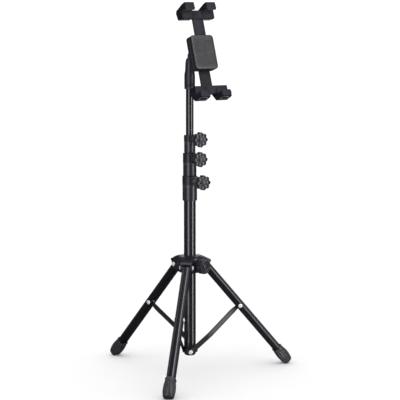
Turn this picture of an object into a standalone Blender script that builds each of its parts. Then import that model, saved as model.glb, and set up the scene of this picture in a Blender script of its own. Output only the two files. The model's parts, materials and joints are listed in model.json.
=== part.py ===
"""Folding tripod music stand with a telescopic column and a clawed tablet holder.

Every length below is in millimetres and every angle in degrees. The row frame has +Z up, the feet on
z = 0 and the music side facing -Y. Parts are laid out from the column axis, which stands at
(COLUMN_X, COLUMN_Y) so that the origin is the bottom centre of the whole stand. COLUMN_Z presses the
rounded rubber feet onto the floor, where each is ground flat.
"""

from math import asin, atan2, cos, degrees, hypot, pi, radians, sin, sqrt

import bmesh
import bpy
from mathutils import Matrix, Vector

MM = 0.001
TUBE_SIDES = 20
SMALL_SIDES = 12
PIN_SIDES = 10

# --- where the column stands -------------------------------------------------------------------------
COLUMN_X = -31.05
COLUMN_Y = -25.85
COLUMN_Z = -1.8

# --- column: four round tubes that slide in each other ------------------------------------------------
TUBE_WALL = 1.2
TUBES = {  # name: outer radius, bottom, top
    "column_tube_outer": (12.5, 52.4, 398.0),
    "column_tube_second": (11.0, 88.0, 446.0),
    "column_tube_third": (9.5, 132.0, 490.0),
    "column_tube_inner": (8.0, 292.0, 628.0),
}
SLIDE_GAP = 0.3

# --- clamp collars: sleeve on the outer tube, block with a screw boss round the inner tube ----------
COLLARS = {  # name: sleeve radius, bottom, top, outer tube radius, inner tube radius, knob height, knob face
    "lower": (15.3, 369.3, 421.5, 12.5, 11.0, 411.5, 57.0),
    "middle": (14.0, 421.9, 469.0, 11.0, 9.5, 458.5, 46.0),
    "upper": (11.75, 469.4, 506.8, 9.5, 8.0, 499.5, 46.5),
}
KNOB_RADIUS = 15.7
KNOB_LOBES = 8
KNOB_THICK = 13.0
SCREW_RADIUS = 3.0
PAD_THICK = 1.5

# --- tripod -----------------------------------------------------------------------------------------
LEG_ANGLES = {"front": 226.4, "side": 346.4, "rear": 106.4}
LEG_SPREAD = 40.4  # angle from the vertical
HUB_PIVOT_R = 35.0
HUB_PIVOT_Z = 231.6
LEG_HALF_WIDTH = 9.0
LEG_HALF_DEPTH = 8.5
LEG_WALL = 1.1
LEG_LENGTH = 285.0  # pivot to the cut end of the channel
FOOT_LENGTH = 295.5  # pivot to the end of the rubber foot
BRACE_PIVOT_ALONG = 120.8
BRACE_PIVOT_BELOW = 3.2
BRACKET_PIVOT_R = -3.4
BRACKET_PIVOT_Z = 46.5
BRACE_HALF_WIDTH = 5.5
BRACE_THICK = 2.0
BRACE_SIDE = 13.1  # how far beside the column the lower end lies
BRACE_TONGUE_RADIUS = 3.5  # rounded upper end, which swings inside the leg
BRACE_FLAT_LOW = 55.0
BRACE_FLAT_HIGH = 128.0
RIVET_RADIUS = 2.0
RIVET_HEAD = 4.5

# --- hub --------------------------------------------------------------------------------------------
HUB_TOP = 253.5
HUB_BOTTOM = 217.0
HUB_HALF_WIDTH = 13.0
HUB_KNOB_ANGLE = 286.4
HUB_KNOB_Z = 232.0
HUB_KNOB_BACK = 28.8
HUB_KNOB_FACE = 44.5

# --- head -------------------------------------------------------------------------------------------
TILT = 18.55
BALL_Y = -22.0
BALL_Z = 668.4
BALL_RADIUS = 9.0
SHELL_HALF_WIDTH = 27.0
SHELL_HALF_HEIGHT = 36.0
SHELL_BACK = 17.0
SHELL_SPLIT = 27.0
SHELL_FRONT = 37.0
CLAW_SPACING = 51.4
CLAW_HALF_WIDTH = 13.0
SEAT = 88.2  # from the ball to the inside of each claw
PLATE_HALF_WIDTH = 13.0

# ------------------------------------------------------------------------------------------------------
for leftover in list(bpy.data.objects):
    bpy.data.objects.remove(leftover, do_unlink=True)

stand = bpy.data.collections.new("music_stand")
tools = bpy.data.collections.new("shaping_tools")
bpy.context.scene.collection.children.link(stand)
bpy.context.scene.collection.children.link(tools)
tools.hide_render = True

MATERIALS = {  # base colour, metallic, roughness
    "black_paint": ((0.016, 0.016, 0.018), 0.0, 0.28),
    "inner_paint": ((0.020, 0.020, 0.022), 0.0, 0.22),
    "black_plastic": ((0.028, 0.028, 0.032), 0.0, 0.55),
    "knob_plastic": ((0.030, 0.031, 0.036), 0.0, 0.50),
    "black_rubber": ((0.035, 0.035, 0.036), 0.0, 0.80),
    "nickel": ((0.72, 0.72, 0.70), 1.0, 0.22),
    "zinc_steel": ((0.55, 0.55, 0.56), 1.0, 0.35),
    "nylon": ((0.60, 0.60, 0.56), 0.0, 0.60),
}


def material(name):
    found = bpy.data.materials.get(name)
    if found:
        return found
    colour, metallic, roughness = MATERIALS[name]
    made = bpy.data.materials.new(name)
    made.use_nodes = True
    shader = made.node_tree.nodes["Principled BSDF"]
    shader.inputs["Base Color"].default_value = (*colour, 1.0)
    shader.inputs["Metallic"].default_value = metallic
    shader.inputs["Roughness"].default_value = roughness
    return made


# --- frames -------------------------------------------------------------------------------------------
def frame(origin, x_axis, y_axis, z_axis):
    """A placement in the column's own frame: columns are the axes, and the origin is in millimetres."""
    place = Matrix((x_axis, y_axis, z_axis)).transposed().to_4x4()
    where = Vector(origin) + Vector((COLUMN_X, COLUMN_Y, COLUMN_Z))
    place.translation = where * MM
    return place


COLUMN = frame((0, 0, 0), (1, 0, 0), (0, 1, 0), (0, 0, 1))
HEAD = frame(
    (0, BALL_Y, BALL_Z),
    (1, 0, 0),
    (0, sin(radians(TILT)), cos(radians(TILT))),
    (0, -cos(radians(TILT)), sin(radians(TILT))),
)


def radial_axes(angle):
    out = Vector((cos(radians(angle)), sin(radians(angle)), 0))
    return out, Vector((-out.y, out.x, 0))


def leg_frame(angle):
    """Origin on the hub pivot, x sideways, y square to the leg and outwards, z down along the leg."""
    out, side = radial_axes(angle)
    up = Vector((0, 0, 1))
    along = out * sin(radians(LEG_SPREAD)) - up * cos(radians(LEG_SPREAD))
    square = out * cos(radians(LEG_SPREAD)) + up * sin(radians(LEG_SPREAD))
    return frame(out * HUB_PIVOT_R + up * HUB_PIVOT_Z, side, square, along)


def brace_geometry():
    """(length between the pivots, angle from the vertical) of a brace with the stand open."""
    spread = radians(LEG_SPREAD)
    top_r = HUB_PIVOT_R + BRACE_PIVOT_ALONG * sin(spread) - BRACE_PIVOT_BELOW * cos(spread)
    top_z = HUB_PIVOT_Z - BRACE_PIVOT_ALONG * cos(spread) - BRACE_PIVOT_BELOW * sin(spread)
    across, rise = top_r - BRACKET_PIVOT_R, top_z - BRACKET_PIVOT_Z
    return hypot(across, rise), atan2(across, rise)


BRACE_LENGTH, BRACE_ANGLE = brace_geometry()


def brace_frame(angle):
    """Origin on the bracket pivot, x sideways, z up along the brace."""
    out, side = radial_axes(angle)
    up = Vector((0, 0, 1))
    along = out * sin(BRACE_ANGLE) + up * cos(BRACE_ANGLE)
    square = up * sin(BRACE_ANGLE) - out * cos(BRACE_ANGLE)
    return frame(out * BRACKET_PIVOT_R + up * BRACKET_PIVOT_Z, side, square, along)


def radial_frame(angle, height):
    """Origin on the column axis at a height, z outwards, y up, x sideways."""
    out, side = radial_axes(angle)
    return frame((0, 0, height), side, (0, 0, 1), out)


# --- mesh makers: each returns (points, faces) in millimetres -----------------------------------------
def revolve(profile, steps):
    """A closed profile of (radius, height) turned round z. A point with radius 0 is a pole."""
    points, rows = [], []
    for radius, height in profile:
        if radius == 0:
            rows.append([len(points)] * steps)
            points.append((0, 0, height))
            continue
        rows.append(list(range(len(points), len(points) + steps)))
        for i in range(steps):
            turn = 2 * pi * i / steps
            points.append((radius * cos(turn), radius * sin(turn), height))
    faces = []
    for j, low in enumerate(rows):
        high = rows[(j + 1) % len(rows)]
        for i in range(steps):
            k = (i + 1) % steps
            corners = []
            for corner in (low[i], low[k], high[k], high[i]):
                if corner not in corners:
                    corners.append(corner)
            if len(corners) > 2:
                faces.append(corners)
    return points, faces


def prism(outline, low, high, along="z"):
    """An outline of 2D points pushed along an axis. Along x it is (y, z), along y (x, z), along z (x, y)."""
    order = {"x": lambda a, b, h: (h, a, b), "y": lambda a, b, h: (a, h, b), "z": lambda a, b, h: (a, b, h)}
    count = len(outline)
    points = [order[along](a, b, h) for h in (low, high) for a, b in outline]
    faces = [list(range(count)), list(range(count, 2 * count))]
    for i in range(count):
        j = (i + 1) % count
        faces.append([i, j, j + count, i + count])
    return points, faces


def cylinder(radius, low, high, steps=SMALL_SIDES):
    return revolve([(0, low), (radius, low), (radius, high), (0, high)], steps)


def stud(radius, tip, end):
    """A screw shank along z with a chamfered tip."""
    return revolve([(0, tip), (radius - 0.6, tip), (radius, tip + 0.6), (radius, end), (0, end)], SMALL_SIDES)


def block(x, y, z):
    return prism([(x[0], y[0]), (x[1], y[0]), (x[1], y[1]), (x[0], y[1])], z[0], z[1])


def arc(centre, radius, start, end, steps):
    """Points of an arc in degrees, both ends included."""
    turns = [radians(start + (end - start) * i / steps) for i in range(steps + 1)]
    return [(centre[0] + radius * cos(t), centre[1] + radius * sin(t)) for t in turns]


def rounded_rectangle(half_x, half_y, radius, steps=4):
    outline = []
    for sx, sy, start in ((1, 1, 0), (-1, 1, 90), (-1, -1, 180), (1, -1, 270)):
        centre = (sx * (half_x - radius), sy * (half_y - radius))
        outline += arc(centre, radius, start, start + 90, steps)
    return outline


def joined(*shapes):
    """Separate shapes as the islands of one mesh, for a cutter."""
    points, faces = [], []
    for more_points, more_faces in shapes:
        faces += [[i + len(points) for i in face] for face in more_faces]
        points += more_points
    return points, faces


def moved(shape, matrix):
    """The shape with a matrix in millimetres applied to its points."""
    points, faces = shape
    return [tuple(matrix @ Vector(p)) for p in points], faces


# --- objects --------------------------------------------------------------------------------------------
def new_object(name, shape, place, into):
    points, faces = shape
    mesh = bpy.data.meshes.new(name)
    mesh.from_pydata([Vector(p) * MM for p in points], [], faces)
    work = bmesh.new()
    work.from_mesh(mesh)
    bmesh.ops.recalc_face_normals(work, faces=work.faces)
    work.to_mesh(mesh)
    work.free()
    made = bpy.data.objects.new(name, mesh)
    made.matrix_world = place
    into.objects.link(made)
    return made


def part(name, shape, place, finish, smooth=35):
    made = new_object(name, shape, place, stand)
    made.data.materials.append(material(finish))
    made.data.shade_smooth()
    made.data.set_sharp_from_angle(angle=radians(smooth))
    return made


def shape_with(target, name, shape, place, operation):
    """Adds or takes away a helper shape with an exact Boolean."""
    helper = new_object(name, shape, place, tools)
    helper.hide_render = True
    helper.display_type = "WIRE"
    step = target.modifiers.new(name, "BOOLEAN")
    step.operation = operation
    step.solver = "EXACT"
    step.object = helper
    return helper


def cut(target, name, shape, place):
    return shape_with(target, name, shape, place, "DIFFERENCE")


def add(target, name, shape, place):
    return shape_with(target, name, shape, place, "UNION")


def soften(target, width, segments=1, angle=40):
    bevel = target.modifiers.new("soften", "BEVEL")
    bevel.width = width * MM
    bevel.segments = segments
    bevel.limit_method = "ANGLE"
    bevel.angle_limit = radians(angle)
    return bevel


# --- column -------------------------------------------------------------------------------------------
def build_tubes():
    for name, (radius, low, high) in TUBES.items():
        inner = radius - TUBE_WALL
        lip = 0.4
        profile = [
            (inner, low),
            (radius - lip, low),
            (radius, low + lip),
            (radius, high - lip),
            (radius - lip, high),
            (inner, high),
        ]
        finish = "black_paint" if name == "column_tube_outer" else "inner_paint"
        part(name, revolve(profile, TUBE_SIDES), COLUMN, finish)


def star_outline(radius, lobes, depth, per_lobe=4):
    outline = []
    for i in range(lobes * per_lobe):
        turn = 2 * pi * i / (lobes * per_lobe)
        swell = 0.5 + 0.5 * cos(lobes * turn)
        reach = radius - depth * (1 - swell) ** 1.6
        outline.append((reach * cos(turn), reach * sin(turn)))
    return outline


def star_knob(face):
    """A scalloped knob whose front face is at a distance from the column axis, seen along z."""
    outline = star_outline(KNOB_RADIUS, KNOB_LOBES, 2.6)
    count = len(outline)
    levels = ((face - KNOB_THICK, 0.90), (face - KNOB_THICK + 2, 1.0), (face - 3.5, 1.0), (face - 1.2, 0.90))
    points = [(x * size, y * size, height) for height, size in levels for x, y in outline]
    points += [(0, 0, levels[0][0]), (0, 0, levels[-1][0])]
    faces = []
    for i in range(count):
        j = (i + 1) % count
        faces.append([len(points) - 2, i, j])
        faces.append([len(points) - 1, 3 * count + i, 3 * count + j])
        for level in range(3):
            a, b = level * count, (level + 1) * count
            faces.append([a + i, a + j, b + j, b + i])
    return points, faces


def build_collars():
    for name, (radius, low, high, outer_r, inner_r, knob_z, face) in COLLARS.items():
        step_z = [top for r, _, top in TUBES.values() if r == outer_r][0] + SLIDE_GAP
        block_low = 2 * knob_z - high + 0.6
        profile = [
            (outer_r + SLIDE_GAP, low),
            (radius - 0.6, low),
            (radius, low + 0.6),
            (radius, block_low),
            (radius + 0.35, block_low + 0.6),
            (radius + 0.35, high - 0.8),
            (radius - 0.3, high),
            (inner_r + SLIDE_GAP, high),
            (inner_r + SLIDE_GAP, step_z),
            (outer_r + SLIDE_GAP, step_z),
        ]
        body = part(f"clamp_collar_{name}", revolve(profile, TUBE_SIDES), COLUMN, "black_plastic")
        toward = radial_frame(270, knob_z)
        half_z = high - knob_z - 0.4
        lug_end = radius + 5.5
        neck_end = face - KNOB_THICK - 0.4
        lug = prism(rounded_rectangle(8.2, half_z, 2.4, 3), radius - 4.0, lug_end)
        neck_low = radius - 3.5
        neck = [(0, neck_low), (6.8, neck_low), (6.8, lug_end + 1), (5.6, neck_end), (0, neck_end)]
        neck = revolve(neck, SMALL_SIDES)
        add(body, f"lug_{name}", lug, toward)
        add(body, f"neck_{name}", neck, toward)
        tube_room = cylinder(inner_r + SLIDE_GAP, step_z, high + 5, TUBE_SIDES)
        cut(body, f"tube_room_{name}", tube_room, COLUMN)
        screw_room = cylinder(SCREW_RADIUS + SLIDE_GAP, inner_r - 3, face)
        cut(body, f"screw_room_{name}", screw_room, toward)
        knob = part(f"clamp_knob_{name}", star_knob(face), toward, "knob_plastic", 30)
        cap = [(0, face - 3), (5.0, face - 3), (5.0, face - 0.5), (4.4, face), (0, face)]
        add(knob, f"knob_cap_{name}", revolve(cap, SMALL_SIDES), toward)
        blind = cylinder(SCREW_RADIUS + 0.05, face - KNOB_THICK - 2, face - 4)
        cut(knob, f"knob_blind_{name}", blind, toward)
        pad_low = inner_r + 0.15
        tip = pad_low + PAD_THICK + 0.15
        part(f"clamp_screw_{name}", stud(SCREW_RADIUS, tip, face - 4.1), toward, "zinc_steel")
        part(f"clamp_pad_{name}", cylinder(2.7, pad_low, pad_low + PAD_THICK), toward, "nylon")


# --- tripod -------------------------------------------------------------------------------------------
def leg_profile(offset, steps=4):
    """Half-round top and straight cheeks, open on the lower side, as a line from one edge to the other."""
    half = LEG_HALF_WIDTH - offset
    centre_y = LEG_HALF_DEPTH - LEG_HALF_WIDTH
    crown = arc((0, centre_y), half, 0, 180, 2 * steps)
    right = [(half, y) for y in (-LEG_HALF_DEPTH, -6.4, -3.4)]
    left = [(-x, y) for x, y in reversed(right)]
    return right + crown + left


def leg_mesh():
    outer, inner = leg_profile(0), leg_profile(LEG_WALL)
    loop = outer + inner[::-1]
    count = len(loop)
    crown = LEG_HALF_DEPTH + 0.1
    points = [(x, y, -sqrt(max(crown**2 - y**2, 0.0))) for x, y in loop]
    points += [(x, y, LEG_LENGTH) for x, y in loop]
    faces = []
    half = count // 2
    for i in range(count):
        j = (i + 1) % count
        faces.append([i, j, j + count, i + count])
    for i in range(half - 1):
        a, b = i, i + 1
        c, d = count - 2 - i, count - 1 - i
        faces.append([a, b, c, d])
        faces.append([a + count, b + count, c + count, d + count])
    return points, faces


def cross_pin(radius, reach, y, z):
    """A cylinder along x through (y, z)."""
    turn = Matrix.Translation((0, y, z)) @ Matrix.Rotation(radians(90), 4, "Y")
    return moved(cylinder(radius, -reach, reach, PIN_SIDES), turn)


def rivet(low, high, low_head, high_head):
    """A rivet along z from one face to the other, with a domed head at one end or both."""
    dome = [(RIVET_HEAD, 0.0), (RIVET_HEAD, 0.5), (RIVET_HEAD * 0.7, 1.6), (0, 1.9)]
    profile = [(0, low)] if not low_head else [(r, low - h) for r, h in reversed(dome)]
    profile += [(RIVET_RADIUS, low)]
    profile += [(RIVET_RADIUS, high)]
    profile += [(0, high)] if not high_head else [(r, high + h) for r, h in dome]
    return revolve(profile, SMALL_SIDES)


def along_x(shape, y=0.0, z=0.0, flip=False):
    turn = Matrix.Translation((0, y, z)) @ Matrix.Rotation(radians(-90 if flip else 90), 4, "Y")
    return moved(shape, turn)


def foot_ring(half, corner, height, steps=3):
    """A section of the foot: a half-round top, straight sides and a flat underside with round corners."""
    right = arc((half - corner, corner - half + 0.3), corner, -90, 0, steps)
    crown = arc((0, -0.5), half, 0, 180, 4 * steps)
    left = [(-x, y) for x, y in reversed(right)]
    return [(x, y, height) for x, y in right + crown + left]


def foot_mesh():
    """A barrel of rubber that is as wide as the leg above, swells round its end and is rounded below."""
    start = FOOT_LENGTH - 41.0
    sections = (  # distance from the upper end, half width, corner radius
        (0.0, 10.3, 1.7), (1.6, 10.3, 1.7), (8.0, 11.0, 2.4), (15.0, 12.1, 3.6), (22.0, 12.75, 4.6),
        (29.0, 12.75, 5.4), (34.5, 12.1, 6.0), (38.0, 11.2, 6.4), (40.2, 9.7, 6.4), (41.0, 7.6, 5.4),
    )
    rings = [foot_ring(half, corner, start + down) for down, half, corner in sections]
    count = len(rings[0])
    points = [p for ring in rings for p in ring]
    faces = [list(range(count)), list(range(len(points) - count, len(points)))]
    for base in range(0, len(points) - count, count):
        for i in range(count):
            j = (i + 1) % count
            faces.append([base + i, base + j, base + j + count, base + i + count])
    return points, faces


def foot_pocket():
    half = LEG_HALF_WIDTH + SLIDE_GAP
    centre_y = LEG_HALF_DEPTH - LEG_HALF_WIDTH
    outline = [(half, -LEG_HALF_DEPTH - SLIDE_GAP)] + arc((0, centre_y), half, 0, 180, 8)
    outline += [(-half, -LEG_HALF_DEPTH - SLIDE_GAP)]
    return prism(outline, FOOT_LENGTH - 50, LEG_LENGTH + 0.3)


def brace_mesh():
    """A flat strip that lies beside the column below and steps over to the middle of its leg above."""
    low_arc = arc((0, 0), BRACE_HALF_WIDTH, 180, 360, 6)
    high_r = BRACE_TONGUE_RADIUS
    high_arc = arc((0, BRACE_LENGTH), high_r, 0, 180, 6)
    stations = [BRACE_FLAT_LOW, BRACE_FLAT_HIGH]
    low_x, high_x = -BRACE_SIDE - BRACE_THICK, -BRACE_THICK / 2

    def face(x_low, x_high):
        rows = [[(x_low, y, z) for y, z in low_arc]]
        rows.append([(x_low, -BRACE_HALF_WIDTH, stations[0]), (x_low, BRACE_HALF_WIDTH, stations[0])])
        rows.append([(x_high, -BRACE_HALF_WIDTH, stations[1]), (x_high, BRACE_HALF_WIDTH, stations[1])])
        rows.append([(x_high, y, z) for y, z in high_arc])
        return rows

    rows = face(low_x, high_x)
    inner = [[(x + BRACE_THICK, y, z) for x, y, z in row] for row in rows]
    points = [p for row in rows + inner for p in row]
    n_low, n_high = len(low_arc), len(high_arc)
    half = n_low + 4 + n_high
    a0 = n_low
    b0 = n_low + 2
    c0 = n_low + 4
    faces = []
    for base in (0, half):
        faces.append([base + i for i in range(n_low)])
        faces.append([base, base + n_low - 1, base + a0 + 1, base + a0])
        faces.append([base + a0, base + a0 + 1, base + b0 + 1, base + b0])
        faces.append([base + b0, base + b0 + 1, base + c0, base + c0 + n_high - 1])
        faces.append([base + c0 + i for i in range(n_high)])
    rim = list(range(n_low)) + [a0 + 1, b0 + 1] + list(range(c0, c0 + n_high)) + [b0, a0]
    for i, first in enumerate(rim):
        second = rim[(i + 1) % len(rim)]
        faces.append([first, second, second + half, first + half])
    return points, faces


def build_tripod():
    for name, angle in LEG_ANGLES.items():
        place = leg_frame(angle)
        leg = part(f"leg_{name}", leg_mesh(), place, "black_paint")
        holes = joined(
            cross_pin(RIVET_RADIUS + SLIDE_GAP, 20, 0, 0),
            cross_pin(RIVET_RADIUS + SLIDE_GAP, 20, -BRACE_PIVOT_BELOW, BRACE_PIVOT_ALONG),
        )
        cut(leg, f"leg_holes_{name}", holes, place)
        foot = part(f"foot_{name}", foot_mesh(), place, "black_rubber")
        cut(foot, f"foot_pocket_{name}", foot_pocket(), place)
        floor = block((-300, 300), (-300, 300), (-30, -COLUMN_Z))
        cut(foot, f"floor_{name}", floor, COLUMN)
        hub_reach = HUB_HALF_WIDTH + 0.1
        hub_rivet = along_x(rivet(-hub_reach, hub_reach, True, True))
        part(f"hub_rivet_{name}", hub_rivet, place, "nickel")
        inner_end, outer_end = BRACE_THICK / 2 + 0.3, LEG_HALF_WIDTH + 0.1
        for side, flip in (("a", False), ("b", True)):
            half_rivet = rivet(inner_end, outer_end, False, True)
            shape = along_x(half_rivet, -BRACE_PIVOT_BELOW, BRACE_PIVOT_ALONG, flip)
            part(f"brace_rivet_{name}_{side}", shape, place, "nickel")
        low = brace_frame(angle)
        brace = part(f"brace_{name}", brace_mesh(), low, "black_paint")
        eyes = joined(
            cross_pin(RIVET_RADIUS + SLIDE_GAP, 30, 0, 0), cross_pin(RIVET_RADIUS + 0.1, 30, 0, BRACE_LENGTH)
        )
        cut(brace, f"brace_eyes_{name}", eyes, low)
        pin = rivet(BRACE_SIDE - 5.0, BRACE_SIDE + BRACE_THICK + 0.2, False, True)
        part(f"bracket_rivet_{name}", along_x(pin, 0, 0, True), low, "nickel")


def build_bracket():
    profile = [
        (0, 38.0),
        (8.5, 38.0),
        (11.2, 39.6),
        (12.3, 42.5),
        (12.3, 52.1),
        (TUBES["column_tube_outer"][0] - TUBE_WALL - SLIDE_GAP, 52.1),
        (TUBES["column_tube_outer"][0] - TUBE_WALL - SLIDE_GAP, 75.0),
        (9.8, 76.2),
        (0, 76.2),
    ]
    body = part("bottom_bracket", revolve(profile, TUBE_SIDES), COLUMN, "black_plastic")
    for name, angle in LEG_ANGLES.items():
        low = brace_frame(angle)
        boss_end = BRACE_SIDE - 0.3
        boss = along_x(cylinder(5.4, 4.0, boss_end), 0, 0, True)
        add(body, f"pivot_boss_{name}", boss, low)
    for name, angle in LEG_ANGLES.items():
        hole = cylinder(RIVET_RADIUS + 0.15, 7.5, 20, PIN_SIDES)
        cut(body, f"pivot_hole_{name}", along_x(hole, 0, 0, True), brace_frame(angle))


# --- hub ------------------------------------------------------------------------------------------------
def build_hub():
    bore = TUBES["column_tube_outer"][0] + SLIDE_GAP
    dome = [
        (bore, HUB_BOTTOM),
        (20.0, HUB_BOTTOM),
        (24.5, HUB_BOTTOM + 1.5),
        (26.0, HUB_BOTTOM + 5.0),
        (26.0, HUB_TOP - 8.0),
        (24.0, HUB_TOP - 3.6),
        (19.0, HUB_TOP - 0.8),
        (15.5, HUB_TOP),
        (bore, HUB_TOP),
    ]
    hub = part("hub_body", revolve(dome, 24), COLUMN, "black_plastic")
    hood = [
        (16.0, HUB_TOP - 0.3),
        (20.0, HUB_TOP - 0.6),
        (28.0, HUB_TOP - 2.8),
        (36.0, HUB_TOP - 6.6),
        (43.0, HUB_TOP - 10.9),
        (43.4, HUB_TOP - 13.0),
        (41.4, HUB_TOP - 15.0),
        (41.4, HUB_PIVOT_Z - 4.0),
        (38.6, HUB_PIVOT_Z - 8.0),
        (33.0, HUB_PIVOT_Z - 11.4),
        (26.0, HUB_BOTTOM + 0.8),
        (16.0, HUB_BOTTOM),
    ]
    pocket = [(25.8, HUB_BOTTOM - 20), (25.8, HUB_PIVOT_Z)]
    pocket += arc((HUB_PIVOT_R, HUB_PIVOT_Z), 9.4, 180, 52, 6)
    pocket += [(60.0, HUB_PIVOT_Z + 5.4), (60.0, HUB_BOTTOM - 20)]
    for name, angle in LEG_ANGLES.items():
        out, side = radial_axes(angle)
        place = frame((0, 0, 0), out, side, (0, 0, 1))
        arm = add(hub, f"hood_{name}", prism(hood, -HUB_HALF_WIDTH, HUB_HALF_WIDTH, "y"), place)
        soften(arm, 1.2, 1, 60)
    toward = radial_frame(HUB_KNOB_ANGLE, HUB_KNOB_Z)
    boss = revolve([(0, 18), (9.0, 18), (8.2, HUB_KNOB_BACK - 0.4), (0, HUB_KNOB_BACK - 0.4)], 16)
    add(hub, "hub_boss", boss, toward)
    for name, angle in LEG_ANGLES.items():
        out, side = radial_axes(angle)
        place = frame((0, 0, 0), out, side, (0, 0, 1))
        half = LEG_HALF_WIDTH + SLIDE_GAP
        cut(hub, f"leg_room_{name}", prism(pocket, -half, half, "y"), place)
        pin_room = cross_pin(RIVET_RADIUS + 0.1, 20, 0, 0)
        cut(hub, f"pin_room_{name}", pin_room, leg_frame(angle))
    cut(hub, "hub_screw_room", cylinder(SCREW_RADIUS + SLIDE_GAP, 10, 40), toward)
    cut(hub, "column_room", cylinder(bore, HUB_BOTTOM - 9, HUB_TOP + 9, 24), COLUMN)

    ribs = 20
    outline = []
    for i in range(ribs * 2):
        turn = 2 * pi * i / (ribs * 2)
        radius = 15.0 if i % 2 else 14.3
        outline.append((radius * cos(turn), radius * sin(turn)))
    knob = part("hub_knob", prism(outline, HUB_KNOB_BACK, HUB_KNOB_FACE - 2.0), toward, "knob_plastic", 20)
    face = revolve(
        [
            (0, HUB_KNOB_BACK + 2),
            (13.6, HUB_KNOB_BACK + 2),
            (13.6, HUB_KNOB_FACE - 1.2),
            (12.0, HUB_KNOB_FACE),
            (9.4, HUB_KNOB_FACE),
            (8.6, HUB_KNOB_FACE - 0.8),
            (0, HUB_KNOB_FACE - 0.8),
        ],
        20,
    )
    add(knob, "hub_knob_face", face, toward)
    cut(knob, "hub_knob_blind", cylinder(SCREW_RADIUS + 0.05, 26, HUB_KNOB_FACE - 4), toward)
    pad_low = TUBES["column_tube_outer"][0] + 0.15
    part("hub_pad", cylinder(2.7, pad_low, pad_low + PAD_THICK), toward, "nylon")
    tip = pad_low + PAD_THICK + 0.15
    part("hub_screw", stud(SCREW_RADIUS, tip, HUB_KNOB_FACE - 4.1), toward, "zinc_steel")


# --- head -----------------------------------------------------------------------------------------------
def build_post():
    tube = TUBES["column_tube_inner"][0]
    top = TUBES["column_tube_inner"][2]
    bore = tube + SLIDE_GAP
    profile = [
        (bore, 602.0),
        (10.6, 602.0),
        (11.2, 602.8),
        (11.2, 632.0),
        (9.4, 640.0),
        (9.0, 656.0),
        (8.0, 662.0),
        (5.0, 666.2),
        (0, 667.4),
        (0, top + 0.3),
        (bore, top + 0.3),
    ]
    post = part("ball_post", revolve(profile, TUBE_SIDES), COLUMN, "black_plastic")
    stem_start = -(abs(BALL_Y) / cos(radians(TILT)))
    ball = [(4.5, stem_start), (4.5, -sqrt(BALL_RADIUS**2 - 4.5**2))]
    start = degrees(asin(4.5 / BALL_RADIUS)) - 90
    ball += [(r, z) for r, z in arc((0, 0), BALL_RADIUS, start, 90, 7)[1:-1]]
    ball += [(0, BALL_RADIUS), (0, stem_start)]
    add(post, "ball_and_stem", revolve(ball, 16), HEAD)


def build_socket():
    inner = BALL_RADIUS + 0.25
    mouth_z = -4.7
    cup = [(12.4, mouth_z), (12.4, 12.6), (16.8, 12.6), (16.8, SHELL_BACK - 0.3), (0, SHELL_BACK - 0.3)]
    start = degrees(atan2(mouth_z, sqrt(inner**2 - mouth_z**2)))
    cup += [(0, inner)] + arc((0, 0), inner, 90, start, 6)[1:]
    socket = part("ball_socket", revolve(cup, TUBE_SIDES), HEAD, "black_plastic")
    cut(socket, "slit_across", block((-20, 20), (-0.8, 0.8), (-8, 7.5)), HEAD)
    cut(socket, "slit_down", block((-0.8, 0.8), (-20, 20), (-8, 7.5)), HEAD)
    nut = [(8.8, -6.3), (15.2, -6.3), (16.4, -5.0), (16.4, 9.0)]
    nut += [(15.6, 10.0), (12.7, 10.0), (12.7, -5.0), (8.8, -5.0)]
    part("socket_nut", revolve(nut, 24), HEAD, "black_plastic")


def claw_outer(sign, n):
    """How far out the outer face of a claw lies at a distance in front of the ball."""
    if sign < 0:
        return 97.2 + (52.3 - n) * 0.123
    return 101.3 - (52.3 - n) * 0.258


def claw_shapes(sign, centre):
    """The body and the lip of one claw, in the head frame; sign is -1 for the lower pair."""
    lip_back = 45.0
    lower_back = ((72.0, 19.0), (82.0, 13.5), (100.2, 27.9))
    upper_back = ((72.0, 19.0), (88.0, 15.5), (92.6, 18.6))
    back = lower_back if sign < 0 else upper_back
    front = ((claw_outer(sign, lip_back), lip_back), (SEAT, lip_back), (SEAT, 37.4), (72.0, 37.4))
    side = [(sign * v, n) for v, n in back + front]
    body = prism(side, centre - CLAW_HALF_WIDTH, centre + CLAW_HALF_WIDTH, "x")
    sections = (  # distance in front, then (v, half width) at the tip, the widest place and the outer face
        (lip_back - 0.4, (88.4, 12.3), (89.6, 12.9), 12.9),
        (50.4, (84.85, 10.4), (88.2, 12.5), 11.5),
        (52.3, (83.9, 9.2), (88.2, 11.2), 10.1),
    )
    points = []
    for n, tip, wide, outer_half in sections:
        outer = claw_outer(sign, n) - (0.8 if n > 52 else 0.05)
        half = [(tip[1], tip[0]), (wide[1], wide[0]), (outer_half, outer)]
        ring = half + [(-u, v) for u, v in reversed(half)]
        points += [(centre + u, sign * v, n) for u, v in ring]
    faces = [list(range(6)), list(range(12, 18))]
    for level in (0, 6):
        for i in range(6):
            j = (i + 1) % 6
            faces.append([level + i, level + j, level + j + 6, level + i + 6])
    return body, (points, faces)


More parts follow.
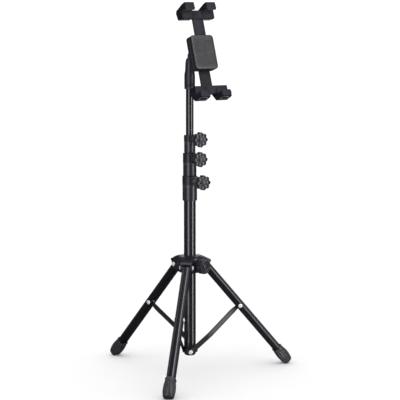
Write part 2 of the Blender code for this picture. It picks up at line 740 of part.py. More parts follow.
def build_fork(name, sign, plate_n, plate_end, link):
    half = CLAW_SPACING / 2 + CLAW_HALF_WIDTH
    low, high = sorted((sign * 71.0, sign * 87.9))
    bar = block((-half, half), (low, high), (27.0, 36.6))
    fork = part(name, bar, HEAD, "black_plastic")
    plate_v = sorted((sign * 75.0, plate_end))
    add(fork, f"{name}_plate", block((-PLATE_HALF_WIDTH, PLATE_HALF_WIDTH), plate_v, plate_n), HEAD)
    if link:
        link_v = sorted((sign * 71.5, sign * 84.0))
        link_u = (-PLATE_HALF_WIDTH - 2, PLATE_HALF_WIDTH + 2)
        add(fork, f"{name}_link", block(link_u, link_v, (plate_n[0], 28.0)), HEAD)
    for tag, centre in (("l", -CLAW_SPACING / 2), ("r", CLAW_SPACING / 2)):
        body, lip = claw_shapes(sign, centre)
        add(fork, f"{name}_body_{tag}", body, HEAD)
        add(fork, f"{name}_lip_{tag}", lip, HEAD)
        pad_v = sorted((sign * (SEAT - 0.15), sign * 87.0))
        pad_u = (centre - CLAW_HALF_WIDTH + 2, centre + CLAW_HALF_WIDTH - 2)
        pad_name = name.replace("fork", "claw_pad")
        part(f"{pad_name}_{tag}", block(pad_u, pad_v, (37.6, 44.4)), HEAD, "black_rubber")
    return fork


def build_holder():
    outline = rounded_rectangle(SHELL_HALF_WIDTH, SHELL_HALF_HEIGHT, 7.0, 3)
    room = PLATE_HALF_WIDTH + SLIDE_GAP
    back = part("holder_back_shell", prism(outline, SHELL_BACK, SHELL_SPLIT - 0.15), HEAD, "black_plastic")
    soften(back, 1.5, 1, 60)
    front = part("holder_front_shell", prism(outline, SHELL_SPLIT + 0.15, SHELL_FRONT), HEAD, "black_plastic")
    soften(front, 1.5, 1, 60)
    lower_room = block((-room, room), (-SHELL_HALF_HEIGHT - 5, 8.6), (20.0, 23.6))
    cut(back, "lower_plate_room", lower_room, HEAD)
    upper_room = block((-room, room), (-SHELL_HALF_HEIGHT - 5, SHELL_HALF_HEIGHT + 5), (30.0, 33.6))
    cut(front, "upper_plate_room", upper_room, HEAD)
    lower = build_fork("lower_fork", -1, (20.3, 23.3), 8.0, True)
    build_fork("upper_fork", 1, (30.3, 33.3), 0.0, False)

    lock = frame_at_head(0, 27.5)
    lock_room = cylinder(2.8, 10, 30.6)
    cut(back, "lock_screw_room", lock_room, lock)
    cut(front, "lock_screw_room_front", lock_room, lock)
    outline = star_outline(8.5, 6, 1.6)
    knob = part("lock_knob", prism(outline, 4.0, SHELL_BACK - 0.4), lock, "knob_plastic", 30)
    soften(knob, 0.8, 1, 50)
    cut(knob, "lock_blind", cylinder(2.55, 7.0, 20), lock)
    part("lock_screw", cylinder(2.5, 7.2, 30.1), lock, "zinc_steel")

    for tag, u in (("l", -9.0), ("r", 9.0)):
        place = frame_at_head(u, -27.0)
        hole = revolve([(0, 10), (3.6, 10), (3.6, 18.4), (1.7, 18.6), (1.7, 25.0), (0, 25.0)], SMALL_SIDES)
        cut(back, f"fork_screw_room_{tag}", hole, place)
        cut(lower, f"fork_screw_hole_{tag}", cylinder(1.7, 19, 25), place)
        profile = [(0, 16.9), (2.6, 16.9), (3.3, 17.5), (3.3, 18.1), (1.5, 18.3), (1.5, 24.6), (0, 24.6)]
        screw = revolve(profile, SMALL_SIDES)
        part(f"fork_screw_{tag}", screw, place, "zinc_steel")
    pad = prism(rounded_rectangle(22.0, 30.0, 5.0, 3), SHELL_FRONT + 0.1, SHELL_FRONT + 1.1)
    part("holder_front_pad", pad, HEAD, "black_rubber")


def frame_at_head(u, v):
    return HEAD @ Matrix.Translation((u * MM, v * MM, 0))


build_tubes()
build_collars()
build_bracket()
build_hub()
build_tripod()
build_post()
build_socket()
build_holder()
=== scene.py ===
"""Looks of the folding tripod music stand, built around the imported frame.

Shapes are given in millimetres in the frame of the piece they belong to, and are placed in metres.
"""

import json
from math import asin, atan2, cos, degrees, hypot, pi, radians, sin, sqrt

import bmesh
import bpy
from mathutils import Matrix, Vector

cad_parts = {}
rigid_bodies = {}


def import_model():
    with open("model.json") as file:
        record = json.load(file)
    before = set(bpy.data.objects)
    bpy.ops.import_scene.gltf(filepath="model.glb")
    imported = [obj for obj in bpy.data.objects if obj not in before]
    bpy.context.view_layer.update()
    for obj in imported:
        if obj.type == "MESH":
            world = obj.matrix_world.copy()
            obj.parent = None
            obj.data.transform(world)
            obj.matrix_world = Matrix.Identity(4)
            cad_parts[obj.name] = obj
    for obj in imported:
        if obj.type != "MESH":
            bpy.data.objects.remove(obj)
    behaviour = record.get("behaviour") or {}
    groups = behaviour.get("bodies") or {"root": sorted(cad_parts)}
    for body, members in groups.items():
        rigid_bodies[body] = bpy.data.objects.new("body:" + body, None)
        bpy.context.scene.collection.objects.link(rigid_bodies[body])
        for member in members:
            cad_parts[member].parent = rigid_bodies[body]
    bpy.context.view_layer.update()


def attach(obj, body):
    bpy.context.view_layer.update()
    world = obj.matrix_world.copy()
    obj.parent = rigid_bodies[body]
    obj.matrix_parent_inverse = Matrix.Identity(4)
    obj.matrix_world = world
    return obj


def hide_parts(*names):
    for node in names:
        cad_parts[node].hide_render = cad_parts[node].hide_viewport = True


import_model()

MM = 0.001
COLUMN_X, COLUMN_Y, COLUMN_Z = -31.05, -25.85, -1.8
UP = Vector((0, 0, 1))

# ----- Driving sizes, the same as the solids' -----
TUBE_WALL = 1.2
# Tubes: body, radius, lower and upper end.
TUBES = {
    "outer": ("column", 12.5, 52.4, 398.0),
    "second": ("second_tube", 11.0, 88.0, 446.0),
    "third": ("third_tube", 9.5, 132.0, 490.0),
    "inner": ("inner_tube", 8.0, 292.0, 628.0),
}
OUTER_RADIUS = TUBES["outer"][1]
GAP = 0.3
# Collars: body, radius, lower and upper end, top of the tube that carries it, radius of that tube and of the
# tube it grips, height of its knob and distance of the knob's face from the axis.
COLLARS = {
    "lower": ("column", 15.3, 369.3, 421.5, 398.0, 12.5, 11.0, 411.5, 57.0),
    "middle": ("second_tube", 14.0, 421.9, 469.0, 446.0, 11.0, 9.5, 458.5, 46.0),
    "upper": ("third_tube", 11.75, 469.4, 506.8, 490.0, 9.5, 8.0, 499.5, 46.5),
}
KNOB_RADIUS, KNOB_LOBES, KNOB_THICK = 15.7, 8, 13.0
LEG_ANGLES = {"front": 226.4, "side": 346.4, "rear": 106.4}
LEG_SPREAD = 40.4
HUB_PIVOT_R, HUB_PIVOT_Z = 35.0, 231.6
LEG_HALF_WIDTH, LEG_HALF_DEPTH, LEG_WALL = 9.0, 8.5, 1.1
LEG_LENGTH, FOOT_LENGTH, BOOT_LENGTH = 285.0, 295.5, 41.0
BRACE_PIVOT_ALONG, BRACE_PIVOT_BELOW = 120.8, 3.2
BRACKET_PIVOT_R, BRACKET_PIVOT_Z = -3.4, 46.5
BRACE_HALF_WIDTH, BRACE_THICK, BRACE_SIDE = 5.5, 2.0, 13.1
BRACE_FLAT_LOW, BRACE_FLAT_HIGH = 55.0, 128.0
HUB_TOP, HUB_BOTTOM, HUB_HALF_WIDTH = 253.5, 217.0, 13.0
HUB_KNOB_ANGLE, HUB_KNOB_Z, HUB_KNOB_BACK, HUB_KNOB_FACE = 286.4, 232.0, 28.8, 44.5
TILT, BALL_Y, BALL_Z, BALL_RADIUS = 18.55, -22.0, 668.4, 9.0
SHELL_HALF_WIDTH, SHELL_HALF_HEIGHT = 27.0, 36.0
SHELL_BACK, SHELL_SPLIT, SHELL_FRONT = 17.0, 27.0, 37.0
CLAW_SPACING, CLAW_HALF_WIDTH, SEAT, PLATE_HALF_WIDTH = 51.4, 13.0, 88.2, 13.0
CLAMP_ANGLE = 270
SCREW_RADIUS, SCREW_ROOM, KNOB_BORE = 3.0, 3.3, 3.05
PAD_GAP, PAD_THICK, PAD_RADIUS = 0.15, 1.5, 2.7
HUB_EYE, LEG_EYE, BRACE_EYE = 2.05, 2.1, 2.15
FORK_SCREW_V, FORK_SCREWS = -27.0, {"l": -9.0, "r": 9.0}
LOCK_V = 27.5
BOOT_RIBS, GRIP_RIBS, HUB_KNOB_RIBS, HOOD_RIB_PITCH = 16, 24, 30, 3.6
FACE_PAD_HALF_WIDTH, FACE_PAD_HALF_HEIGHT, FACE_PAD_CORNER, FACE_PAD_PITCH = 22.0, 30.0, 5.0, 3.0


# ----- Frames -----
def placed(origin, x_axis, y_axis, z_axis):
    place = Matrix((x_axis, y_axis, z_axis)).transposed().to_4x4()
    place.translation = (Vector(origin) + Vector((COLUMN_X, COLUMN_Y, COLUMN_Z))) * MM
    return place


COLUMN = placed((0, 0, 0), (1, 0, 0), (0, 1, 0), (0, 0, 1))
HEAD = placed(
    (0, BALL_Y, BALL_Z),
    (1, 0, 0),
    (0, sin(radians(TILT)), cos(radians(TILT))),
    (0, -cos(radians(TILT)), sin(radians(TILT))),
)


def radial_axes(angle):
    out = Vector((cos(radians(angle)), sin(radians(angle)), 0))
    return out, Vector((-out.y, out.x, 0))


def leg_frame(angle):
    out, side = radial_axes(angle)
    along = out * sin(radians(LEG_SPREAD)) - UP * cos(radians(LEG_SPREAD))
    square = out * cos(radians(LEG_SPREAD)) + UP * sin(radians(LEG_SPREAD))
    return placed(out * HUB_PIVOT_R + UP * HUB_PIVOT_Z, side, square, along)


def brace_geometry():
    spread = radians(LEG_SPREAD)
    top_r = HUB_PIVOT_R + BRACE_PIVOT_ALONG * sin(spread) - BRACE_PIVOT_BELOW * cos(spread)
    top_z = HUB_PIVOT_Z - BRACE_PIVOT_ALONG * cos(spread) - BRACE_PIVOT_BELOW * sin(spread)
    across, rise = top_r - BRACKET_PIVOT_R, top_z - BRACKET_PIVOT_Z
    return hypot(across, rise), atan2(across, rise)


BRACE_LENGTH, BRACE_ANGLE = brace_geometry()


def brace_frame(angle):
    out, side = radial_axes(angle)
    along = out * sin(BRACE_ANGLE) + UP * cos(BRACE_ANGLE)
    square = UP * sin(BRACE_ANGLE) - out * cos(BRACE_ANGLE)
    return placed(out * BRACKET_PIVOT_R + UP * BRACKET_PIVOT_Z, side, square, along)


def radial_frame(angle, height):
    out, side = radial_axes(angle)
    return placed((0, 0, height), side, (0, 0, 1), out)


def upright_frame(angle):
    out, side = radial_axes(angle)
    return placed((0, 0, 0), out, side, (0, 0, 1))


def at_head(u, v):
    return HEAD @ Matrix.Translation((u * MM, v * MM, 0))


# ----- Shapes: (points, faces) in millimetres -----
def smooth(low, high, value):
    t = min(max((value - low) / (high - low), 0.0), 1.0)
    return t * t * (3 - 2 * t)


def turned(profile, steps, warp=None):
    """A closed profile of (radius, height) turned round z, where warp moves (turn, radius, height)."""
    points, rows = [], []
    for radius, height in profile:
        if radius == 0:
            rows.append([len(points)] * steps)
            points.append((0, 0, height))
            continue
        rows.append(list(range(len(points), len(points) + steps)))
        for i in range(steps):
            turn = 2 * pi * i / steps
            r, z = warp(turn, radius, height) if warp else (radius, height)
            points.append((r * cos(turn), r * sin(turn), z))
    faces = []
    for low, high in zip(rows, rows[1:] + rows[:1]):
        for i in range(steps):
            k = (i + 1) % steps
            corners = list(dict.fromkeys((low[i], low[k], high[k], high[i])))
            if len(corners) > 2:
                faces.append(corners)
    return points, faces


def lofted(rings, capped=True):
    """Closed rings of equal length joined one to the next, with a fan over each end if capped."""
    count = len(rings[0])
    points = [tuple(p) for ring in rings for p in ring]
    faces = []
    for j in range(len(rings) - 1):
        for i in range(count):
            k = (i + 1) % count
            faces.append([j * count + i, j * count + k, (j + 1) * count + k, (j + 1) * count + i])
    for base in (0, (len(rings) - 1) * count) if capped else ():
        middle = [sum(points[base + i][axis] for i in range(count)) / count for axis in range(3)]
        points.append(tuple(middle))
        for i in range(count):
            faces.append([len(points) - 1, base + i, base + (i + 1) % count])
    return points, faces


def prism(outline, low, high, along="z"):
    """An outline pushed along one axis."""
    order = {"x": lambda a, b, h: (h, a, b), "y": lambda a, b, h: (a, h, b), "z": lambda a, b, h: (a, b, h)}
    count = len(outline)
    points = [order[along](a, b, h) for h in (low, high) for a, b in outline]
    faces = [list(range(count)), list(range(count, 2 * count))]
    for i in range(count):
        j = (i + 1) % count
        faces.append([i, j, j + count, i + count])
    return points, faces


def cylinder(radius, low, high, steps=48):
    return turned([(0, low), (radius, low), (radius, high), (0, high)], steps)


def soft_cylinder(radius, low, high, edge, steps=48):
    profile = [(0, low)] + arc((radius - edge, low + edge), edge, -90, 0, 4)
    profile += arc((radius - edge, high - edge), edge, 0, 90, 4) + [(0, high)]
    return turned(profile, steps)


def block(x, y, z):
    return prism([(x[0], y[0]), (x[1], y[0]), (x[1], y[1]), (x[0], y[1])], *z)


def arc(centre, radius, start, end, steps):
    turns = [radians(start + (end - start) * i / steps) for i in range(steps + 1)]
    return [(centre[0] + radius * cos(t), centre[1] + radius * sin(t)) for t in turns]


def rounded_rectangle(half_x, half_y, radius, steps=8):
    outline = []
    for sx, sy, start in ((1, 1, 0), (-1, 1, 90), (-1, -1, 180), (1, -1, 270)):
        centre = (sx * (half_x - radius), sy * (half_y - radius))
        outline += arc(centre, radius, start, start + 90, steps)
    return outline


def pillow(outline, low, high, edge, crown=0.0, steps=4):
    """An outline round the origin pushed along z, with rounded rims and a slightly crowned top."""
    def ring(shrink, height):
        sizes = [hypot(x, y) for x, y in outline]
        return [(x * (r - shrink) / r, y * (r - shrink) / r, height) for (x, y), r in zip(outline, sizes)]

    turns = [radians(90 * i / steps) for i in range(steps + 1)]
    rings = [ring(edge * (1 - sin(turn)), low + edge * (1 - cos(turn))) for turn in turns]
    rings += [ring(edge * (1 - cos(turn)), high - edge * (1 - sin(turn))) for turn in turns]
    points, faces = lofted(rings)
    points[-1] = (points[-1][0], points[-1][1], high + crown)
    return points, faces


def threaded(radius, low, high, pitch=1.25, depth=0.55, steps=32):
    """A screw shank along z with a real helical thread and chamfered ends."""
    rows = int((high - low) / (pitch / 5))
    rings = []
    for j in range(rows + 1):
        height = low + (high - low) * j / rows
        limit = radius - 0.9 + min(height - low, high - height)
        ring = []
        for i in range(steps):
            turn = 2 * pi * i / steps
            phase = (height / pitch - turn / (2 * pi)) % 1.0
            r = min(radius - depth * abs(2 * phase - 1), max(limit, radius - 0.9))
            ring.append((r * cos(turn), r * sin(turn), height))
        rings.append(ring)
    return lofted(rings)


def joined(*shapes):
    points, faces = [], []
    for more_points, more_faces in shapes:
        faces += [[i + len(points) for i in face] for face in more_faces]
        points += more_points
    return points, faces


def moved(shape, matrix):
    points, faces = shape
    return [tuple(matrix @ Vector(p)) for p in points], faces


def along_x(shape, y=0.0, z=0.0, flip=False):
    turn = Matrix.Translation((0, y, z)) @ Matrix.Rotation(radians(-90 if flip else 90), 4, "Y")
    return moved(shape, turn)


def cross_pin(radius, reach, y=0.0, z=0.0, steps=32):
    return along_x(cylinder(radius, -reach, reach, steps), y, z)


# ----- Objects -----
pieces = bpy.context.scene.collection


def raw_object(name, shape, place):
    points, faces = shape
    mesh = bpy.data.meshes.new(name)
    mesh.from_pydata([Vector(p) * MM for p in points], [], faces)
    work = bmesh.new()
    work.from_mesh(mesh)
    bmesh.ops.remove_doubles(work, verts=work.verts, dist=1e-7)
    bmesh.ops.recalc_face_normals(work, faces=work.faces)
    work.to_mesh(mesh)
    work.free()
    made = bpy.data.objects.new(name, mesh)
    made.matrix_world = place
    pieces.objects.link(made)
    return made


def settle(target):
    """Applies the modifiers of an object to its mesh."""
    bpy.context.view_layer.update()
    graph = bpy.context.evaluated_depsgraph_get()
    mesh = bpy.data.meshes.new_from_object(target.evaluated_get(graph))
    target.modifiers.clear()
    target.data = mesh


def union(shape, place):
    return "UNION", shape, place


def cut(shape, place):
    return "DIFFERENCE", shape, place


def combine(target, steps):
    """Adds and takes away shapes with exact Booleans, in the order of the steps."""
    helpers = []
    for index, (operation, shape, place) in enumerate(steps):
        helper = raw_object(f"{target.name}_tool_{index}", shape, place)
        step = target.modifiers.new(helper.name, "BOOLEAN")
        step.operation, step.solver, step.object = operation, "EXACT", helper
        helpers.append(helper)
    settle(target)
    for helper in helpers:
        bpy.data.objects.remove(helper, do_unlink=True)


def round_edges(target, width, segments=3, angle=30):
    """Clears flat seams left by the Booleans and rounds the edges."""
    work = bmesh.new()
    work.from_mesh(target.data)
    bmesh.ops.remove_doubles(work, verts=work.verts, dist=2e-6)
    bmesh.ops.dissolve_limit(work, angle_limit=radians(1.5), verts=work.verts, edges=work.edges)
    work.to_mesh(target.data)
    work.free()
    bevel = target.modifiers.new("edges", "BEVEL")
    bevel.width, bevel.segments = width * MM, segments
    bevel.limit_method, bevel.angle_limit = "ANGLE", radians(angle)
    bevel.use_clamp_overlap, bevel.miter_outer = True, "MITER_ARC"
    settle(target)


def piece(name, shape, place, body, finish, nodes=(), steps=(), edge=None, smooth_angle=35):
    """A finished piece that rides on a body and stands for some nodes; finish is (material, slot), and the slot is
    not used.
    """
    made = raw_object(name, shape, place)
    if steps:
        combine(made, steps)
    if edge:
        round_edges(made, *edge)
    material, slot = finish
    mesh = made.data
    mesh.shade_smooth()
    mesh.set_sharp_from_angle(angle=radians(smooth_angle))
    mesh.materials.clear()
    mesh.materials.append(material)
    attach(made, body)
    if nodes:
        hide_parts(*nodes)
    return made


# ----- Materials -----
class Nodes:
    """A short way to wire the nodes of one material."""

    def __init__(self, name):
        self.material = bpy.data.materials.new(name)
        self.material.use_nodes = True
        self.tree = self.material.node_tree
        self.shader = self.tree.nodes["Principled BSDF"]
        self.where = self.add("ShaderNodeTexCoord").outputs["Object"]

    def feed(self, socket, value):
        """Links an output to a socket, or gives the socket a number or a colour."""
        if isinstance(value, bpy.types.NodeSocket):
            self.tree.links.new(value, socket)
        else:
            socket.default_value = (*value, 1.0) if socket.type == "RGBA" else value

    def add(self, kind, inputs=(), **settings):
        """A node of one kind, with its inputs by name or number."""
        node = self.tree.nodes.new(kind)
        for key, value in settings.items():
            setattr(node, key, value)
        for key, value in dict(inputs).items():
            self.feed(node.inputs[key], value)
        return node

    def paint(self, **values):
        """Feeds inputs of the shader, with underscores for the spaces in their names."""
        for key, value in values.items():
            self.feed(self.shader.inputs[key.replace("_", " ")], value)

    def stretched(self, scale):
        return self.add("ShaderNodeMapping", {"Scale": scale, "Vector": self.where}).outputs["Vector"]

    def noise(self, scale, detail=3.0, roughness=0.5, vector=None):
        inputs = {"Scale": scale, "Detail": detail, "Roughness": roughness, "Vector": vector or self.where}
        return self.add("ShaderNodeTexNoise", inputs).outputs["Fac"]

    def spread(self, value, low, high, out_low, out_high):
        inputs = {"From Min": low, "From Max": high, "To Min": out_low, "To Max": out_high, "Value": value}
        return self.add("ShaderNodeMapRange", inputs).outputs["Result"]

    def between(self, factor, first, second):
        """A mix of two colours; the numbers are those of the colour sockets."""
        return self.add("ShaderNodeMix", {0: factor, 6: first, 7: second}, data_type="RGBA").outputs[2]

    def maths(self, operation, first, second):
        return self.add("ShaderNodeMath", {0: first, 1: second}, operation=operation).outputs[0]

    def bump(self, height, strength, distance):
        inputs = {"Strength": strength, "Distance": distance, "Height": height}
        return self.add("ShaderNodeBump", inputs).outputs["Normal"]


def surface(
    name, slot, colour, rough, variation=0.25, grain=900.0, relief=0.3, relief_size=2e-5, cloud=35.0,
    metallic=0.0, specular=0.5, coat=0.0, coat_rough=0.1, brushed=None, wear_and_edge_highlight=0.35, wear_and_highlight_colour=(0.10, 0.10, 0.105),
    dust=0.0, dust_colour=(0.16, 0.155, 0.145), uneven=0.10, painted_light_inside=None,
):
    """A finish and its slot: cloudy tone, fine grain in the relief, convex edges lightened as rubbed wear and as
    painted
    highlights, and where given: streaks along one axis, dust, and a painted lighter tone that lifts the shade in and
    round a channel (half width, height, colour)."""
    n = Nodes(name)
    dark = tuple(c * (1 - variation) for c in colour)
    light = tuple(min(c * (1 + variation), 1.0) for c in colour)
    tone = n.between(n.spread(n.noise(cloud, 4.0, 0.6), 0.3, 0.7, 0.0, 1.0), dark, light)
    if dust:
        settled = n.spread(n.noise(cloud * 2.3, 6.0, 0.7), 0.45, 0.8, 0.0, dust)
        tone = n.between(settled, tone, dust_colour)
    # Painted light: a lighter tone within the channel's half width and below its crown, lifting the shade that falls
    # inside a leg's channel.
    if painted_light_inside:
        reach, crown, inside = painted_light_inside
        split = n.add("ShaderNodeSeparateXYZ", {0: n.where}).outputs
        within = n.maths("LESS_THAN", n.maths("ABSOLUTE", split["X"], 0.0), reach)
        below = n.maths("LESS_THAN", split["Y"], crown)
        tone = n.between(n.maths("MULTIPLY", within, below), tone, inside)
    # Lighter convex edges: rubbed wear, and on the knob plastic and the boot rubber also painted highlights on rims
    # and nubs.
    if wear_and_edge_highlight:
        geometry = n.add("ShaderNodeNewGeometry").outputs["Pointiness"]
        edge = n.spread(geometry, 0.52, 0.60, 0.0, 1.0)
        patch = n.spread(n.noise(cloud * 6, 3.0, 0.6), 0.35, 0.65, 0.25, 1.0)
        tone = n.between(n.maths("MULTIPLY", n.maths("MULTIPLY", edge, patch), wear_and_edge_highlight), tone, wear_and_highlight_colour)
    fine = n.noise(grain, 2.0, 0.5)
    gloss = n.spread(n.noise(cloud * 3, 5.0, 0.6), 0.3, 0.7, rough * (1 - uneven), min(rough * (1 + uneven), 1.0))
    height = fine
    if brushed:
        streaks = n.noise(1.0, 3.0, 0.6, n.stretched(brushed))
        gloss = n.maths("ADD", gloss, n.spread(streaks, 0.35, 0.75, -0.01, 0.02))
        height = n.maths("ADD", n.maths("MULTIPLY", fine, 0.5), n.maths("MULTIPLY", streaks, 0.3))
    n.paint(
        Base_Color=tone, Roughness=gloss, Normal=n.bump(height, relief, relief_size), Metallic=metallic,
        Specular_IOR_Level=specular, Coat_Weight=coat, Coat_Roughness=coat_rough,
    )
    return n.material, slot


# The legs get a painted lighter tone in and round their channels, lifting the shade inside them.
LEG_PAINT = surface(
    "leg_powder_coat", "black_paint", (0.0040, 0.0039, 0.0054), 0.21, relief=0.15, relief_size=1e-5, cloud=28.0,
    wear_and_edge_highlight=0.0, uneven=0.04, specular=0.36, painted_light_inside=(0.0081, 0.0078, (0.024, 0.0235, 0.027)),
)
TUBE_PAINT = surface(
    "tube_enamel", "black_paint", (0.0055, 0.0053, 0.0078), 0.25, relief=0.15, relief_size=1e-5, cloud=24.0, coat=0.3,
    coat_rough=0.16, brushed=(1500.0, 1500.0, 14.0), wear_and_edge_highlight=0.2, uneven=0.03,
)
SLIDING_PAINT = surface(
    "sliding_enamel", "inner_paint", (0.0060, 0.0058, 0.0084), 0.20, relief=0.12, relief_size=1e-5, cloud=24.0,
    coat=0.3, coat_rough=0.12, brushed=(2200.0, 2200.0, 9.0), wear_and_edge_highlight=0.3, uneven=0.03,
)
BRACE_PAINT = surface(
    "brace_powder_coat", "black_paint", (0.0085, 0.0084, 0.0088), 0.40, relief=0.35, cloud=40.0, wear_and_edge_highlight=0.6,
    wear_and_highlight_colour=(0.08, 0.08, 0.08), uneven=0.06,
)
PLASTIC = surface(
    "moulded_black", "black_plastic", (0.0075, 0.0070, 0.0112), 0.40, grain=2600.0, relief=0.4, relief_size=3e-5,
    cloud=45.0, wear_and_edge_highlight=0.6, wear_and_highlight_colour=(0.10, 0.10, 0.115), uneven=0.06, specular=0.40,
)
SLEEVE_PLASTIC = surface(
    "sleeve_black", "black_plastic", (0.0105, 0.0100, 0.0148), 0.31, grain=1900.0, relief=0.25, cloud=45.0, wear_and_edge_highlight=0.4,
    uneven=0.05,
)
# Knob plastic: its strong light edge tone is mostly a painted highlight on the lobe and rib rims, with some rubbed
# wear.
KNOB_PLASTIC = surface(
    "knob_black", "knob_plastic", (0.0190, 0.0185, 0.0255), 0.38, grain=2400.0, relief=0.45, relief_size=4e-5,
    cloud=60.0, wear_and_edge_highlight=0.9, wear_and_highlight_colour=(0.16, 0.16, 0.185), uneven=0.08,
)
CLAW_PLASTIC = surface(
    "claw_black", "black_plastic", (0.0100, 0.0102, 0.0155), 0.46, grain=2300.0, relief=0.4, relief_size=3e-5,
    cloud=50.0, wear_and_edge_highlight=0.0, uneven=0.06, specular=0.12,
)
PLUG_PLASTIC = surface(
    "plug_grey", "black_plastic", (0.200, 0.200, 0.212), 0.48, grain=2300.0, relief=0.4, relief_size=3e-5, cloud=50.0,
    wear_and_edge_highlight=0.7, wear_and_highlight_colour=(0.16, 0.16, 0.17), uneven=0.06,
)
# Boot rubber: its light edge tone paints glints on the ring of nubs near the end, besides rubbed wear.
RUBBER = surface(
    "black_rubber_skin", "black_rubber", (0.0140, 0.0135, 0.0180), 0.40, variation=0.3, grain=1500.0, relief=0.6,
    relief_size=5e-5, cloud=55.0, wear_and_edge_highlight=0.8, wear_and_highlight_colour=(0.12, 0.12, 0.13), dust=0.12,
)
PAD_RUBBER = surface(
    "pad_rubber_skin", "black_rubber", (0.0180, 0.0180, 0.0210), 0.62, grain=1800.0, relief=0.6, relief_size=4e-5,
    cloud=70.0, wear_and_edge_highlight=0.5, dust=0.1, specular=0.4,
)
# Rivet nickel: partly real metal, partly a light diffuse base colour that is a painted reflection of the white room,
# which glossy rays see dark.
NICKEL_PAINTED_REFLECTION = surface(
    "bright_nickel", "nickel", (0.60, 0.60, 0.59), 0.30, variation=0.05, grain=1200.0, relief=0.15, relief_size=1e-5,
    cloud=160.0, metallic=0.40, wear_and_edge_highlight=0.0,
)
ZINC = surface(
    "zinc_plate", "zinc_steel", (0.50, 0.51, 0.54), 0.34, variation=0.12, grain=2200.0, relief=0.35, relief_size=1e-5,
    cloud=190.0, metallic=1.0, wear_and_edge_highlight=0.0,
)
NYLON = surface(
    "natural_nylon", "nylon", (0.58, 0.57, 0.52), 0.5, variation=0.08, grain=1500.0, cloud=150.0, wear_and_edge_highlight=0.0,
)


# ----- Column -----
def build_tubes():
    for name, (body, radius, low, high) in TUBES.items():
        inner, lip = radius - TUBE_WALL, 0.5
        profile = [(inner, low + 0.3), (inner + 0.3, low)]
        profile += arc((radius - lip, low + lip), lip, -90, 0, 4)
        rows = 24
        profile += [(radius, low + lip + (high - low - 2 * lip) * i / rows) for i in range(1, rows)]
        profile += arc((radius - lip, high - lip), lip, 0, 90, 4)
        profile += [(inner + 0.3, high), (inner, high - 0.3)]
        paint = TUBE_PAINT if name == "outer" else SLIDING_PAINT
        piece(f"tube_{name}", turned(profile, 96), COLUMN, body, paint, [f"column_tube_{name}"])


def star_knob(face, back, radius, lobes, scallop, cap, pocket):
    """A scalloped knob seen along z: a rolled rim, a pocket behind each lobe and a raised domed cap."""
    inside = cap + 0.9
    top = face - 2.0

    def warp(turn, r, z):
        reach = radius - scallop * (0.5 - 0.5 * cos(lobes * turn)) ** 1.6
        if r > inside:
            r = inside + (r - inside) * (reach - inside) / (radius - inside)
        if z > face - 4.5 and r > inside:
            lobe = pi / lobes - abs((turn + pi / lobes) % (2 * pi / lobes) - pi / lobes)
            wall = smooth(0.5, 1.2, r * lobe)
            reach_in = smooth(inside + 0.3, inside + 1.0, r) * (1 - smooth(reach - 2.2, reach - 1.4, r))
            z -= pocket * wall * reach_in
            z += 0.7 * smooth(reach - 2.2, reach - 1.2, r)
        return r, z

    profile = [(0, back), (cap, back)]
    profile += [(radius - 2.2, back)] + arc((radius - 1.4, back + 1.4), 1.4, -90, 0, 5)
    profile += [(radius, back + (top - 1.0 - back) * t) for t in (0.35, 0.6, 0.8)]
    profile += arc((radius - 0.8, top - 0.8), 0.8, 0, 90, 6)
    rows = 30
    start, end = radius - 0.8, cap + 0.8
    profile += [(start + (end - start) * i / rows, top) for i in range(1, rows + 1)]
    profile += [(cap + 0.6, top - 0.8), (cap + 0.1, top - 0.8), (cap, top - 0.3), (cap, top + 0.6)]
    profile += [
        (cap * cos(t), top + 0.6 + (face - top - 0.6) * sin(t)) for t in (radians(90 * i / 8) for i in range(1, 8))
    ]
    profile += [(0, face)]
    return turned(profile, lobes * 24, warp)


def clamp(toward, body, knob_body, knob, tube_radius, blind_low, face, smooth_angle, names, nodes):
    """A knob, the screw that is fixed in it, and the nylon pad which the screw presses on a tube."""
    blind = cylinder(KNOB_BORE, blind_low, face - 4, 32)
    low = tube_radius + PAD_GAP
    screw = threaded(SCREW_RADIUS, low + PAD_THICK + 0.15, face - 4.1)
    pad = soft_cylinder(PAD_RADIUS, low, low + PAD_THICK, 0.3)
    piece(names[0], knob, toward, knob_body, KNOB_PLASTIC, nodes[:1], [cut(blind, toward)], None, smooth_angle)
    piece(names[1], screw, toward, knob_body, ZINC, nodes[1:2])
    piece(names[2], pad, toward, body, NYLON, nodes[2:])


